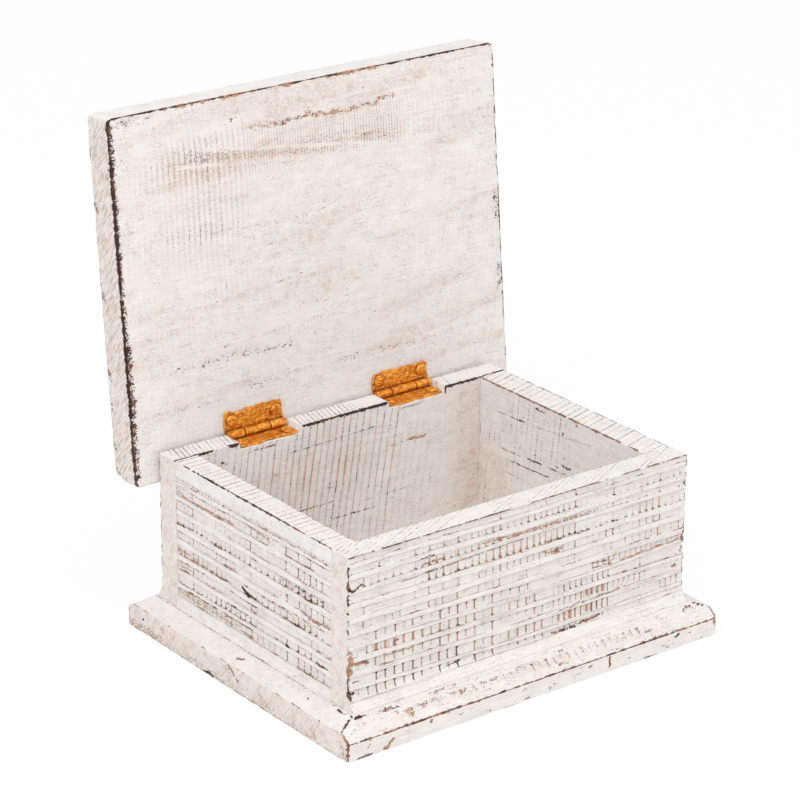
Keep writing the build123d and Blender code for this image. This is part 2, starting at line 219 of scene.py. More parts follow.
class Board:
    """A board as the skin of a lattice, with the marks that its finish reads at each point: wear to
    bare wood, darkness of that wood, thin paint, soft furrows, how far each saw mark widens, and the
    saw marks themselves (phase, strength, and place across their band: 0 in its middle, 1 at its
    ridges, and NO_BANDS where there are none)."""

    def __init__(self, low, high, steps, extra=((), (), ()), near=(EDGE_STEPS,) * 3):
        self.low, self.high = np.array(low, float), np.array(high, float)
        spans = zip(self.low, self.high, steps, extra, near)
        self.flat, self.faces = lattice(*(spaced(*span) for span in spans))
        count = len(self.flat)
        self.points = self.flat.copy()
        self.wear, self.dark, self.thin, self.soft, self.foot = (np.zeros(count) for _ in range(5))
        self.saw = np.repeat([[0.0, 0.0, NO_BANDS]], count, 0)

    def gap(self, face):
        """Distance of each point from a face."""
        axis, side = face
        return self.flat[:, axis] - self.low[axis] if side < 0 else self.high[axis] - self.flat[:, axis]

    def nearer(self, axis):
        """Distance of each point from the nearer of the two faces across an axis."""
        return np.minimum(self.gap((axis, -1)), self.gap((axis, 1)))

    def on(self, face):
        """Which points lie on a face."""
        return self.gap(face) < TOUCH

    def on_either(self, axis):
        """Which points lie on either of the two faces across an axis."""
        return self.nearer(axis) < TOUCH

    def edge(self, first, second):
        """Distance of each point from the edge where two faces meet."""
        return np.hypot(self.gap(first), self.gap(second))

    def wander(self, radius, seed, size=5.0, uneven=0.6, chip=1.2):
        """An edge radius at each point, which wanders and now and then grows to a chip."""
        drift = noise(self.flat, size, seed)
        return np.maximum(radius * (1 + uneven * drift) + chip * smooth((drift - 0.75) * 3), LEAST_RADIUS)

    def round_over(self, radius, axes=(0, 1, 2), sides=(-1, 1)):
        """Rounds the edges where the faces of these axes meet: what stands outside the box that the
        radius shrinks is drawn in, so that each square shell of it becomes a round one."""
        axes = list(axes)
        radius = np.broadcast_to(radius, len(self.points))[:, None]
        low = self.low[axes] + radius if -1 in sides else -np.inf
        high = self.high[axes] - radius if 1 in sides else np.inf
        core = np.clip(self.points[:, axes], low, high)
        out = self.points[:, axes] - core
        most = np.abs(out).max(1, keepdims=True)
        length = np.linalg.norm(out, axis=1, keepdims=True)
        self.points[:, axes] = core + out * most / np.maximum(length, 1e-9)

    def rough(self, amount, size, seed):
        """Moves the points a little at random along each axis."""
        for axis in range(3):
            self.points[:, axis] += amount * noise(self.flat, size, seed + axis, 3)

    def rub(self, amount, dark):
        """Wears the board where the amount is more than the wear it has."""
        more = amount > self.wear
        self.wear = np.where(more, amount, self.wear)
        self.dark = np.where(more, dark, self.dark)

    def rub_edge(self, first, second, stops, width, seed, size=4.0, teeth=0.0):
        """Wears an edge: (place, strength, darkness) stops along it, broken up by noise, in slanting
        teeth of a pitch if one is given."""
        along = self.flat[:, 3 - first[0] - second[0]]
        strength, dark = profile(along, stops)
        breaks = noise(along, size, seed, 3)
        shown = smooth(2.2 * strength - 0.6 + 0.9 * breaks)
        wide = width * np.maximum(0.85 + 0.4 * noise(along, size / 3, seed + 1, 3), 0.3)
        if teeth:
            wide = wide * (0.75 + 0.6 * ((along / teeth + 0.5 * noise(along, 9, seed + 2)) % 1))
        self.rub(shown * np.clip(1.5 - self.edge(first, second) / wide, 0, 1), dark)

    def mark(self, face, u, v, marks):
        """Wears a face along marks, bent, thinned and broken up by noise. A mark is the u and v of each
        point of its path in turn, then its width, strength and darkness."""
        here = self.on(face)
        breaks, bend_u, bend_v = (noise(self.flat, 2.2, seed, 2) for seed in (77, 78, 79))
        for *path, width, strength, dark in marks:
            path = list(zip(path[::2], path[1::2]))
            near = near_path(u + 0.7 * width * bend_u, v + 0.7 * width * bend_v, path, width)
            self.rub(np.where(here, strength * (0.85 + 0.4 * breaks) * near, 0), dark)

    def saw_face(self, face, phase, strength, dark):
        """Straight saw marks on a whole face."""
        here = self.on(face)
        self.saw[here, 0] = phase[here]
        self.saw[here, 1] = np.broadcast_to(strength, here.shape)[here]
        self.dark = np.where(here & (self.wear < UNWORN), dark, self.dark)

    def sawn(self, face, seed):
        """A broad face along X: saw marks and wear in patches drawn out along the grain, and scratches."""
        here, (x, y) = self.on(face), self.flat[:, :2].T
        patchy = noise(self.flat / [55, 15, 1], 1, seed, 3)
        self.soft = np.where(here, np.clip(0.15 + 0.5 * patchy, 0, 1), self.soft)
        self.saw_face(face, x / 4.1 + 0.04 * y + 0.25 * noise(y, 25, seed + 2), 0.22 + 0.34 * patchy, 0.3)
        self.rub(np.where(here, 0.17 + 0.16 * noise(self.flat / [30, 8, 1], 1, seed + 4, 3), 0), 0.3)
        spans = ((-108, 90), (-84, 82), (3, 34), (0.3, 0.7), (0.4, 0.75), (0.1, 0.9))
        self.scratch(face, x, y, np.random.default_rng(seed + 6), 46, spans, 0.06)

    def scratch(self, face, u, v, rng, count, spans, slope):
        """Scratches drawn at random, rising by a slope along u. The spans are those of the u and v of
        their starts and of their lengths, widths, strengths and darknesses."""
        drawn = zip(*[rng.uniform(*span, count) for span in spans])
        self.mark(face, u, v, [(a, b, a + run, b + slope * run, *rest) for a, b, run, *rest in drawn])

    def make(self, name, node, body, material, angle):
        """Makes the piece, turned by an angle about the hinge pins."""
        layers = {key: getattr(self, key) for key in ("wear", "dark", "thin", "soft", "foot", "saw")}
        points = np.clip(turned(self.points, angle), *corners(node))
        return make_piece(name, points, self.faces, layers, material, body, [node])


# ---- ridged walls ----
STOCK, RIGHT_STOCK = 13, 15.5  # thicknesses of the walls' boards
BAND_REACH = 1.12  # how far saw marks run across a band, where its edge is at 1
END_FILLED, END_REACH = 0.45, 9  # share of a band's depth that paint fills at a long wall's ends, and how far
LINE_PLACE = 0.97  # where the dark line lies beside a ridge, on the same scale
# Inner faces of the side walls, against which the paint of the long walls' insides builds up.
INNER_LEFT, INNER_RIGHT = -86.6, 84.1
FILLET_LINES = (-86.5, -85.6, 84.0, 83.2)  # lattice lines beside them


class Wall(Board):
    """One of the four walls. Ridges and bands run along its outer face, whose foot sweeps outwards."""

    def __init__(self, node, face, thickness, top, ridges, shoulder, foot, steps, extra=()):
        low, high = (corner.copy() for corner in corners(node))
        axis, side = face
        if side < 0:
            low[axis] = high[axis] - thickness
        else:
            high[axis] = low[axis] + thickness
        spacing, lines = [1.3, 1.3, 0.45], [(), (), ()]
        spacing[1 - axis], lines[1 - axis] = steps, extra
        super().__init__(low, high, spacing, lines)
        self.face, self.along = face, self.flat[:, 1 - axis]
        self.depth = 1 - self.gap(face) / thickness
        self.outside = self.on(face)
        stops, rows, halves = ridges
        self.lines = [np.full(len(self.flat), top)]
        self.lines += [np.interp(self.along, stops, row) for row in rows]
        self.lines.append(np.interp(self.along, stops, shoulder))
        uneven = 1 + 0.22 * noise(self.flat, (11, 11, 3), 12)
        self.halves = [0, *(half * uneven for half in halves), 0]
        self.flare, self.sweep = foot
        places = [np.abs(self.across(band)[0]) for band in range(len(self.lines) - 1)]
        self.saw[self.outside, 2] = np.clip(np.min(places, 0), 0, 2)[self.outside]

    def across(self, band):
        """Place across a band: -1 at the ridge below it, 1 at the ridge above it."""
        upper = self.lines[band] - self.halves[band]
        lower = self.lines[band + 1] + self.halves[band + 1]
        half = np.maximum((upper - lower) / 2, 0.4)
        return (self.points[:, 2] - lower) / half - 1, half

    def carve(self, seed, flank=0.45, scallop=0.05, rough=0.08):
        """Sinks the bands, with steep flanks, and sweeps the foot out along a parabola. The whole
        thickness is sheared, so the board's ends show the same outline."""
        sunk = np.zeros(len(self.flat))
        ends = self.nearer(1 - self.face[0])
        shallow = 1 - END_FILLED * smooth(1 - ends / END_REACH) * (self.face[0] == 1)
        for band in range(len(self.lines) - 1):
            place, half = self.across(band)
            uneven = RECESS * shallow * (1 + 0.3 * noise(self.along, 22, seed + band))
            here = smooth((1 - np.abs(place)) * half / flank) * uneven
            sunk = np.maximum(sunk, here)
        wave = np.cos(2 * np.pi * self.saw[:, 0]) * self.saw[:, 1]
        above = (self.points[:, 2] - self.low[2]) / self.sweep
        swept = self.flare * np.clip(1 - above, 0, 1) ** 2
        grain = rough * noise(self.spread(9, 0.9), 1, seed + 40, 3)
        sunk = sunk - swept + np.where(self.outside, scallop * wave * (sunk > 0.3), 0)
        axis, side = self.face
        self.points[:, axis] -= side * self.depth * (sunk + grain * (self.points[:, 2] > self.low[2] + 1))

    def spread(self, along, across):
        """Points measured in lengths along and across the grain, for noise in streaks."""
        sizes = np.full(3, float(across))
        sizes[1 - self.face[0]] = along
        return self.points / sizes

    def saw_band(self, band, pitches, foot, stops, seed, speckle):
        """Saw marks in a band: strokes whose pitch follows stops, wider at the top where foot is 1
        and at the bottom where it is -1, and whose strength and darkness follow stops too."""
        place, _ = self.across(band)
        inside = self.outside & (np.abs(place) < BAND_REACH)
        strength, dark = profile(self.along, sorted(stops)) * np.array([[1], [0.7]])
        ends = self.nearer(1 - self.face[0])
        strength = strength * smooth((BAND_REACH - np.abs(place)) / (BAND_REACH - 1)) * smooth(ends / 1.5)
        phase = turns(self.along, pitches) + 0.08 * noise(self.along, 9, seed)
        self.saw[inside, :2] = np.stack([phase, strength], 1)[inside]
        self.foot[inside] = foot * np.clip(place, -1, 1)[inside]
        self.wear[inside] = (speckle * strength)[inside]
        self.dark = np.where(inside, dark, self.dark)

    def saw_bands(self, rows, seed, speckle=0.1):
        """Saw marks in each band, from the rim down."""
        for band, row in enumerate(rows):
            self.saw_band(band, *row, seed + band, speckle)

    def edge_lines(self, seed, amount, dark, width=0.3):
        """Broken dark lines where the bands meet the ridges."""
        for band in range(len(self.lines) - 1):
            place, half = self.across(band)
            for side in (-1, 1):
                gap = np.abs(place - side * LINE_PLACE) * half
                breaks = noise(self.along, 9, seed + 7 * band + side, 3)
                shown = np.clip(amount + 0.75 * breaks, 0, 1) * np.clip(1.5 - gap / width, 0, 1)
                self.rub(np.where(self.outside, shown, 0), dark)

    def fillet(self, place, toward, radius, seed):
        """Paint built up in a corner of the inside: a quarter circle between this wall and the one
        whose inner face stands at a place along it and spans toward one end."""
        near = toward * (self.along - place)
        size = radius * (1 + 0.25 * noise(self.points, 7, seed))
        near = np.where((near > 0.02) & (near < size), size - near, 0)
        rise = size - np.sqrt(np.maximum(size**2 - near**2, 0))
        axis, side = self.face
        self.points[:, axis] -= side * np.where(self.on((axis, -side)), rise, 0)


# Heights of the ridges' middles at places along a wall, from the top ridge down, and half their widths.
# The shoulder is where the lowest band ends and the foot begins.
FRONT_STOPS = (-95, -50, 0, 50, 95)
FRONT_HALVES = (1.25, 1.4, 1.05, 1.6, 1.65, 1.45, 0.95, 1.3, 1.25, 0.9)
FRONT_RIDGES = (
    (87.2, 87.0, 86.2, 87.0, 87.2),
    (81.5, 81.3, 80.2, 80.4, 80.4),
    (74.0, 74.6, 75.7, 75.2, 74.8),
    (67.2, 66.8, 66.4, 66.9, 66.6),
    (60.3, 60.0, 59.8, 60.0, 60.0),
    (53.8, 53.5, 52.5, 52.6, 52.2),
    (47.0, 46.5, 45.4, 45.4, 47.6),
    (40.6, 39.8, 38.9, 39.2, 39.0),
    (33.2, 32.5, 31.0, 31.5, 31.4),
    (26.9, 25.3, 24.0, 24.4, 24.6),
)
FRONT_SHOULDER = (20.6, 20.6, 20.5, 21.0, 21.3)
SIDE_STOPS = (-40, 40)
SIDE_RIDGES = (
    (81.2, 80.4), (73.8, 73.2), (65.5, 65.8), (57.8, 58.0),
    (49.7, 50.7), (41.8, 42.6), (35.3, 35.2), (28.9, 28.0),
)
SIDE_HALVES = (1.1, 1.3, 1.6, 1.7, 1.75, 1.5, 1.5, 1.4)
SIDE_SHOULDER = (22.3, 22.3)
SIDE_CARVING = (0.4, 0.03, 0.12)  # width of the flanks, depth of the saw marks and of the grain
BACK_STOPS = (-100, 100)
BACK_RIDGES = tuple((86.9 - 5.6 * row, 86.5 - 5.6 * row) for row in range(12))
BACK_SHOULDER = (21.2, 20.8)

# Pitches of the saw marks as (place, pitch), along the front and side walls.
FINE = ((-100, 4.08), (2, 4.08), (8, 3.55), (40, 3.55), (46, 4.15), (100, 4.15))
COARSE = ((-100, 5.25), (-50, 5.1), (12, 5.1), (13, 3.35), (100, 3.3))
SIDE = ((-60, 4.67), (-5, 4.75), (8, 4.2), (25, 3.85), (60, 3.7))
# Saw marks by band, from the rim down: pitch, which end widens, then (place, strength, darkness).
FRONT_SAW = (
    (FINE, 0, ((-85, .15, .5), (-60, .1, .5), (-30, .3, .4), (50, .3, .4), (65, .15, .4), (100, .1, .3))),
    (FINE, -.6, ((-85, .1, .6), (-83, .5, .6), (-78, .1, .5), (-60, .3, .4), (-45, .5, .3), (-25, .75, .3),
        (0, .7, .4), (30, .6, .5), (45, .25, .4), (60, .4, .3), (90, .4, .3))),
    (FINE, -.8, ((-70, .35, .4), (-62, .3, .3), (-52, .6, .3), (-45, .9, .25), (-20, .9, .25),
        (-10, .75, .25), (20, .8, .3), (30, .5, .3), (45, .4, .2), (85, .3, .3))),
    (FINE, -.7, ((-60, .1, .6), (-54, .55, .6), (-35, .6, .5), (-28, .75, .3), (-22, .95, .25),
        (5, .95, .2), (7, .95, .15), (25, .9, .25), (28, .45, .2), (60, .2, .3), (70, .8, .2), (82, .8, .2),
        (90, .4, .3))),
    (FINE, .3, ((-85, .2, .6), (-40, .3, .7), (-30, .3, .8), (-26, .8, .8), (0, .8, .7), (8, .4, .3),
        (12, .9, .3), (22, 1.1, .25), (26, .3, .5), (35, .5, .6), (58, .7, .6), (62, .1, .6), (70, .8, .4),
        (82, .8, .4), (90, .3, .5))),
    (FINE, .6, ((-75, .4, .7), (-72, .6, .5), (-58, .1, .4), (-53, .7, .4), (-33, .8, .3), (-30, 0, .3),
        (-28, .7, .3), (-20, .6, .3), (0, .3, .3), (5, .6, .2), (8, 0, .2), (25, .3, .2), (60, .3, .4),
        (66, .8, .3), (70, .5, .3), (92, .6, .3), (98, .9, .3))),
    (COARSE, .9, ((-86, .3, .6), (-75, .6, .6), (-60, .5, .6), (-45, .8, .6), (-25, .9, .5), (0, .8, .6),
        (6, .9, .3), (8, 0, .3), (40, .2, .5), (43, .9, .3), (58, 1, .2), (60, .9, .3), (95, .8, .25))),
    (COARSE, 0, ((-92, .6, .2), (-87, 1.05, .2), (-60, 1, .3), (-35, .9, .25), (-30, .75, .3),
        (0, .95, .35), (8, 1.1, .3), (10, 0, .3), (16, 0, .9), (20, .6, .9), (40, .7, .9), (50, .9, .8),
        (53, .3, .6), (80, .2, .5))),
    (COARSE, 1, ((-90, .6, .2), (-82, .9, .15), (-35, .9, .3), (-20, .6, .3), (-13, .7, .3), (-8, .3, .3),
        (5, .7, .4), (12, .9, .4), (14, 0, .4), (17, .8, .4), (28, .9, .4), (36, .9, .4), (40, 1.2, .4),
        (50, 1.2, .35), (53, .8, .4), (75, .8, .2), (78, .2, .3))),
    (COARSE, .5, ((-92, .3, .9), (-86, 0, .9), (-82, .8, .9), (-38, .9, .8), (-33, 0, .6), (-30, .8, .4),
        (-12, .9, .4), (-3, 1, .3), (13, 1, .4), (15, 0, .8), (18, .6, .8), (23, 1.25, .35), (30, 1.2, .4),
        (35, .9, .6), (40, 1.2, .5), (50, 1, .6), (55, .5, .5), (75, .2, .4), (95, .7, .4), (98, .2, .4))),
    (COARSE, 1, ((-88, .8, .4), (-76, .9, .6), (-70, .7, 1), (-38, .7, 1), (-32, .1, 1), (-30, .9, 1),
        (14, .8, 1), (18, 0, .9), (25, 1, .9), (30, 1, .7), (32, .2, .7), (36, .9, .7), (48, .8, .6),
        (52, .3, .6))),
)
LEFT_SAW = (
    (SIDE, 0, ((60, .5, .4), (35, .4, .5), (20, .6, .4), (0, .6, .4), (-25, .3, .4), (-60, .5, .5))),
    (SIDE, .6, ((62, .9, .3), (45, .4, .3), (25, .4, .4), (5, .7, .3), (-8, .8, .25), (-20, .6, .3),
        (-30, .7, .3), (-48, .4, .4), (-60, .1, .4))),
    (SIDE, .5, ((62, .8, .7), (50, .7, .7), (45, .2, .7), (30, .4, .7), (10, .7, .75), (-15, .5, .75),
        (-32, .8, .7), (-47, .9, .6), (-55, .7, .6), (-60, .2, .6))),
    (SIDE, -.5, ((64, .8, .6), (50, .5, .7), (30, .4, .7), (14, .85, .75), (0, .6, .8), (-16, .8, .7),
        (-20, 1.15, .6), (-45, 1.05, .7), (-57, 1.1, .6), (-60, .3, .7))),
    (SIDE, .6, ((64, .6, .5), (50, .6, .4), (40, .3, .4), (30, .6, .5), (0, .4, .6), (-25, .6, .5),
        (-45, .7, .3), (-60, .8, .2))),
    (SIDE, -.6, ((64, .9, .3), (60, .3, .3), (55, .8, .3), (45, .6, .3), (30, .9, .3), (14, .3, .3),
        (0, .3, .4), (-4, .7, .3), (-38, .9, .35), (-50, .8, .4), (-56, .1, .4))),
    (SIDE, .4, ((64, .8, .2), (55, .9, .2), (40, .4, .4), (20, .3, .5), (0, .6, .6), (-5, .6, .6),
        (-15, .2, .5))),
    (SIDE, -.5, ((65, .9, .4), (60, .4, .8), (40, .5, .8), (28, .8, .9), (12, .9, .9), (0, .7, .8),
        (-10, .4, .7), (-38, .6, .6), (-60, .2, .5))),
    (SIDE, .3, ((66, .5, .4), (50, .8, .3), (10, .9, .25), (-15, .9, .25), (-25, .7, .4), (-40, .8, .35),
        (-57, .6, .4))),
)


def drawn_saw(seed, low, high, bands):
    """Saw marks for a wall of which only the kind of finish is known: stops drawn at random."""
    rng = np.random.default_rng(seed)
    places = np.linspace(low, high, 12)
    rows = []
    for _ in range(bands):
        strength = np.clip(rng.normal(0.5, 0.3, len(places)), 0, 1)
        dark = np.clip(rng.uniform(0.1, 0.9) + rng.normal(0, 0.15, len(places)), 0, 1)
        stops = tuple(zip(places + rng.uniform(-5, 5, len(places)), strength, dark))
        rows.append((((0, rng.choice((4.1, 4.6, 5.1))),), rng.uniform(-1, 1), stops))
    return rows


def front_wall():
    """The front board, marked one by one on its outer face."""
    wall = Wall("front_wall", FRONT, STOCK, 90.9, (FRONT_STOPS, FRONT_RIDGES, FRONT_HALVES), FRONT_SHOULDER,
                (LONG_FLARE, LONG_SWEEP), 0.9, (-84.7, *FILLET_LINES))
    x, z = wall.flat[:, 0], wall.flat[:, 2]
    wall.saw_bands(FRONT_SAW, 300)
    wall.edge_lines(320, -0.08, 0.4, 0.25)
    wall.mark(FRONT, x, z, (
        (-60, 80.3, -52, 80.6, .4, 1, .8), (-58, 76.6, -45, 77, .5, 1, .3),
        (-70, 71.9, -50, 72.4, -30, 73.3, 0, 74, .35, .9, .35),
        (-25, 78, 5, 77.4, 25, 77.4, 45, 77.2, .5, .85, .15), (60, 47.2, 75, 47.8, 98, 48.6, .35, .8, .25),
        (-85, 37.6, -40, 38.2, .4, .7, .2), (22, 31.6, 45, 32.4, 60, 32.6, .4, .8, .4),
        (18, 21.2, 30, 21.2, 48, 22.4, .5, 1, .7), (15, 68.6, 58, 68.8, .3, .7, .7),
        (-99.6, 42, -98.5, 38, -99.4, 35, 1.6, 1.2, .15), (-97, 38.5, -92, 38.5, -88, 36.8, .7, 1.1, .3),
        (-99, 45, -97.5, 43.5, .8, 1, .2), (-98, 74.5, -92, 76.5, .4, .9, .7),
        (-99.3, 76.5, -98.7, 75.5, 1.3, 1.1, .8), (-98.5, 24.8, -96.5, 24.2, .8, 1, .7),
        (-99.5, 25, -99, 22, .9, 1, .6), (98.6, 77.5, 99.4, 77, 1.2, 1, .5), (98.8, 42, 1.2, 1, .5),
        (94, 35, 95, 35.2, .9, 1, .4), (99.6, 52, 99.2, 47, 1, 1, .4), (-96.5, 29.8, -94, 29.5, .5, .9, .6),
        (-74, 43.6, -71.5, 43.7, .5, 1, .5), (42, 50.2, 52, 49.4, 55, 48.6, .3, 1, .5),
        (43, 47.6, 54, 47.3, .3, 1, .5), (12, 64.2, 18, 62.2, 24, 63, .8, .8, .3),
        (-44, 22.8, -36, 23, .3, 1, .9),
    ))
    wall.rub_edge(FRONT, LEFT, ((16, .1, .8), (22, .2, .8), (24, 1, .8), (35, .8, .4), (45, .5, .8),
        (60, .35, .8), (77, .5, .8), (91, .3, .7)), .8, 331, 2.5)
    wall.rub_edge(FRONT, RIGHT, ((16, .2, .6), (30, .55, .6), (50, .6, .6), (70, .55, .6), (91, .5, .5)),
        .7, 334, 3.5)
    wall.rub_edge(FRONT, TOP, ((-100, 1, .7), (-92, .8, .6), (-60, .75, .5), (-20, .7, .5), (20, .85, .5),
        (60, .75, .4), (100, .8, .4)), .42, 337, 6)
    wall.rub_edge(BACK, TOP, ((-88, 0, .7), (-84, 1, .8), (0, 1.1, .8), (85, 1, .7), (88, 0, .7)),
        .42, 341, 4)
    wall.saw_face(TOP, (0.5 * x - wall.flat[:, 1]) / 2.6, 0.22, 0.8)
    wall.saw_face(BACK, (x + 0.14 * z) / 3.2, 0.3 + 0.3 * noise(wall.flat, 18, 345), 0.4)
    wall.thin = np.select([wall.on_either(0), wall.on(BACK)], [0.7, 0.35], 0.0)
    wall.round_over(wall.wander(0.45, 351))
    wall.carve(360)
    wall.fillet(INNER_LEFT, 1, 3.6, 371)
    wall.fillet(INNER_RIGHT, -1, 1.6, 372)
    return wall


def back_wall():
    """The back board: its inside sawn and worn around a dark heart, its rim notched for the hinges."""
    edges = [sign * (NOTCH_MIDDLE + half) + gap for sign in (-1, 1) for half in (-NOTCH_HALF, NOTCH_HALF)
             for gap in (-0.04, 0.04)]
    wall = Wall("back_wall", BACK, STOCK, 90.5, (BACK_STOPS, BACK_RIDGES, (1.3,) * 12), BACK_SHOULDER,
                (LONG_FLARE, LONG_SWEEP), 0.9, (*edges, *FILLET_LINES))
    x, z = wall.flat[:, 0], wall.flat[:, 2]
    wall.saw_bands(drawn_saw(400, -98, 98, 13), 401)
    wall.edge_lines(430, 0.0, 0.4)
    for side in (-1, 1):
        wall.rub_edge(BACK, (0, side), ((16, .3, .6), (40, .7, .7), (70, .5, .6), (91, .5, .6)),
            .8, 440 + side, 3)
    wall.rub_edge(BACK, TOP, ((-100, .6, .6), (0, .5, .5), (100, .6, .5)), .5, 443, 5)
    inside = wall.on(FRONT)
    wall.wear[inside] = 0.1 + 0.12 * noise(wall.flat[inside], 8, 453)
    wall.rub_edge(FRONT, TOP, ((-100, .8, .9), (-62, .8, .9), (-60, 0, .9), (-27, 0, .9), (-25, 1.3, .9),
        (24, 1.5, 1), (27, 0, .9), (61, 0, .8), (63, 1.3, .9), (86, 1.3, .9)), 1.1, 446, 5)
    heart = np.exp(-(((x + 18) / 42) ** 2) - ((z - 62) / 26) ** 2)
    strength = 0.27 + 0.72 * heart + 0.25 * noise(wall.flat, 14, 450) - 0.3 * smooth((x - 30) / 40)
    pitches = ((-80, 3.9), (-40, 3.98), (0, 4.1), (30, 4.3), (60, 4.5))
    wall.saw_face(FRONT, turns(x - 0.15 * (z - 91), pitches) + 0.08 * noise(wall.flat[:, [0, 2]], 14, 451),
                  strength, 0.6 + 0.3 * heart + 0.2 * noise(wall.flat[:, [0, 2]], 12, 452))
    wall.soft = np.where(inside, 0.05 + 0.3 * heart, 0)
    wall.mark(FRONT, x, z, (
        (-34, 79, -10, 79.6, 20, 80.6, .3, .65, .9), (-10, 37.4, 4, 37.8, 18, 37.6, .3, .8, .8),
        (-35, 47, -8, 47, .3, .75, .9), (-55, 86.6, -48, 86, -43, 86.2, .7, 1.1, .6),
        (40, 68.6, 45, 68.2, 50, 68.4, .8, 1.1, .3), (28, 67.6, 38, 68, .8, .5, .2),
        (-73, 84, -71, 83, .6, .9, 1), (-60, 70, -30, 69, .25, .5, .6), (10, 42.6, 50, 43, .3, .55, .7),
        (34, 87.8, 46, 87.6, .4, .8, .6),
    ))
    top = wall.on(TOP)
    rim = np.interp(x, (-98, -94, -80, -62, -60, -26, -24, 4, 16, 64, 90),
                    (0, .7, .3, .5, .1, .1, .6, .5, 0, .2, .1))
    wall.saw_face(TOP, (x - 0.26 * wall.flat[:, 1]) / 2.6, rim, 0.9)
    wall.soft = np.where(top, 0.8 * rim, wall.soft)
    wall.thin = np.where(wall.on_either(0), 0.7, 0)
    # the inside's paint turns beige towards its right end and its bottom, round the inner back right corner
    wall.thin = np.where(inside, 0.8 * smooth((x - 48) / 32) + 0.2 * smooth((50 - z) / 30), wall.thin)
    wall.round_over(wall.wander(0.45, 461))
    # a notch squeezes only what lies above a line a little under its floor
    notched = np.abs(np.abs(x) - NOTCH_MIDDLE) < NOTCH_HALF
    line = NOTCH_FLOOR - NOTCH_SQUEEZE
    above = np.maximum(wall.points[:, 2] - line, 0)
    wall.points[:, 2] -= np.where(notched, above * (RIM - NOTCH_FLOOR) / (RIM - line), 0)
    wall.carve(470)
    wall.fillet(INNER_LEFT, 1, 1.6, 475)
    wall.fillet(INNER_RIGHT, -1, 2.0, 476)
    return wall


def side_wall(node, side, thickness, rows, seed):
    """What both side boards share: ridges, saw marks and broken lines. Also gives places on them."""
    wall = Wall(node, (0, side), thickness, 83.7, (SIDE_STOPS, SIDE_RIDGES, SIDE_HALVES), SIDE_SHOULDER,
                (SIDE_FLARE, SIDE_SWEEP), 0.62)
    y, z = wall.flat[:, 1], wall.flat[:, 2]
    wall.saw_bands(rows, seed, 0.25)
    wall.saw[:, 1] *= 0.82  # the strength of the marks
    wall.edge_lines(seed + 20, 0.12, 0.45, 0.28)
    return wall, y, z


def left_wall():
    """The left board, marked one by one on its outer face."""
    wall, y, z = side_wall("left_wall", -1, STOCK, LEFT_SAW, 500)
    wall.mark(LEFT, y, z, (
        (9, 46, 6, 44.5, 3, 44, .8, 1.1, .95), (7, 48, 5, 47.5, .6, 1.1, .95),
        (18, 41, 5, 39.6, -2, 39.8, .4, .9, .8), (60, 82.6, 30, 82.2, -60, 82, .3, .6, .4),
        (-45, 50.5, -60, 51.5, .9, .8, .2), (-2, 47.5, -30, 46.6, .35, .7, .8),
        (20, 34, 5, 33.4, .5, .8, .8), (62, 60, 50, 60.4, .5, .7, .4),
        (62, 79, 30, 78.4, 5, 79.8, -60, 79.2, .3, .75, .35), (6, 79.6, -2, 78.8, -14, 77.6, .9, .75, .1),
        (63, 76.2, 55, 75, 15, 75.2, .45, .9, .25), (63, 71.5, 48, 71.8, .6, .9, .15),
        (62, 56.4, 50, 56, 15, 55.4, .35, .8, .3), (-5, 48.4, -60, 48.8, .3, .75, .4),
        (60, 44.4, 20, 44.6, .35, .8, .3), (65, 40.4, 55, 41, 36, 41.2, .6, .8, .15),
        (65, 38.8, 50, 38.2, 1, .62, .15), (52, 27.4, 0, 27.6, .4, .9, .55),
        (64, 24, 30, 23.6, 0, 23, .35, .75, .25), (64, 46.5, 45, 46, 1.2, .55, .15),
        (-20, 63, -56, 62, 1.1, .5, .7), (66, 25.5, 10, 25, 1.3, .45, .15),
    ))
    wall.rub_edge(LEFT, TOP, ((-74, .6, .7), (-50, .9, .6), (-20, .8, .8), (10, .9, .9), (30, .7, .9),
        (62, .6, .9)), .62, 531, 4)
    wall.rub_edge(RIGHT, TOP, ((-62, .1, .8), (-58, 1, .7), (62, 1.1, .7)), .45, 534, 4)
    wall.saw_face(TOP, y / 4.0 + 0.15 * noise(y, 6, 535), 0.42, 0.5)
    wall.saw_face(RIGHT, (y + 0.1 * z) / 3.9, 0.3 + 0.3 * noise(wall.flat, 16, 541), 0.5)
    wall.thin = np.where(wall.on(RIGHT), 0.25, 0)
    wall.round_over(wall.wander(0.4, 551))
    wall.carve(560, *SIDE_CARVING)
    return wall


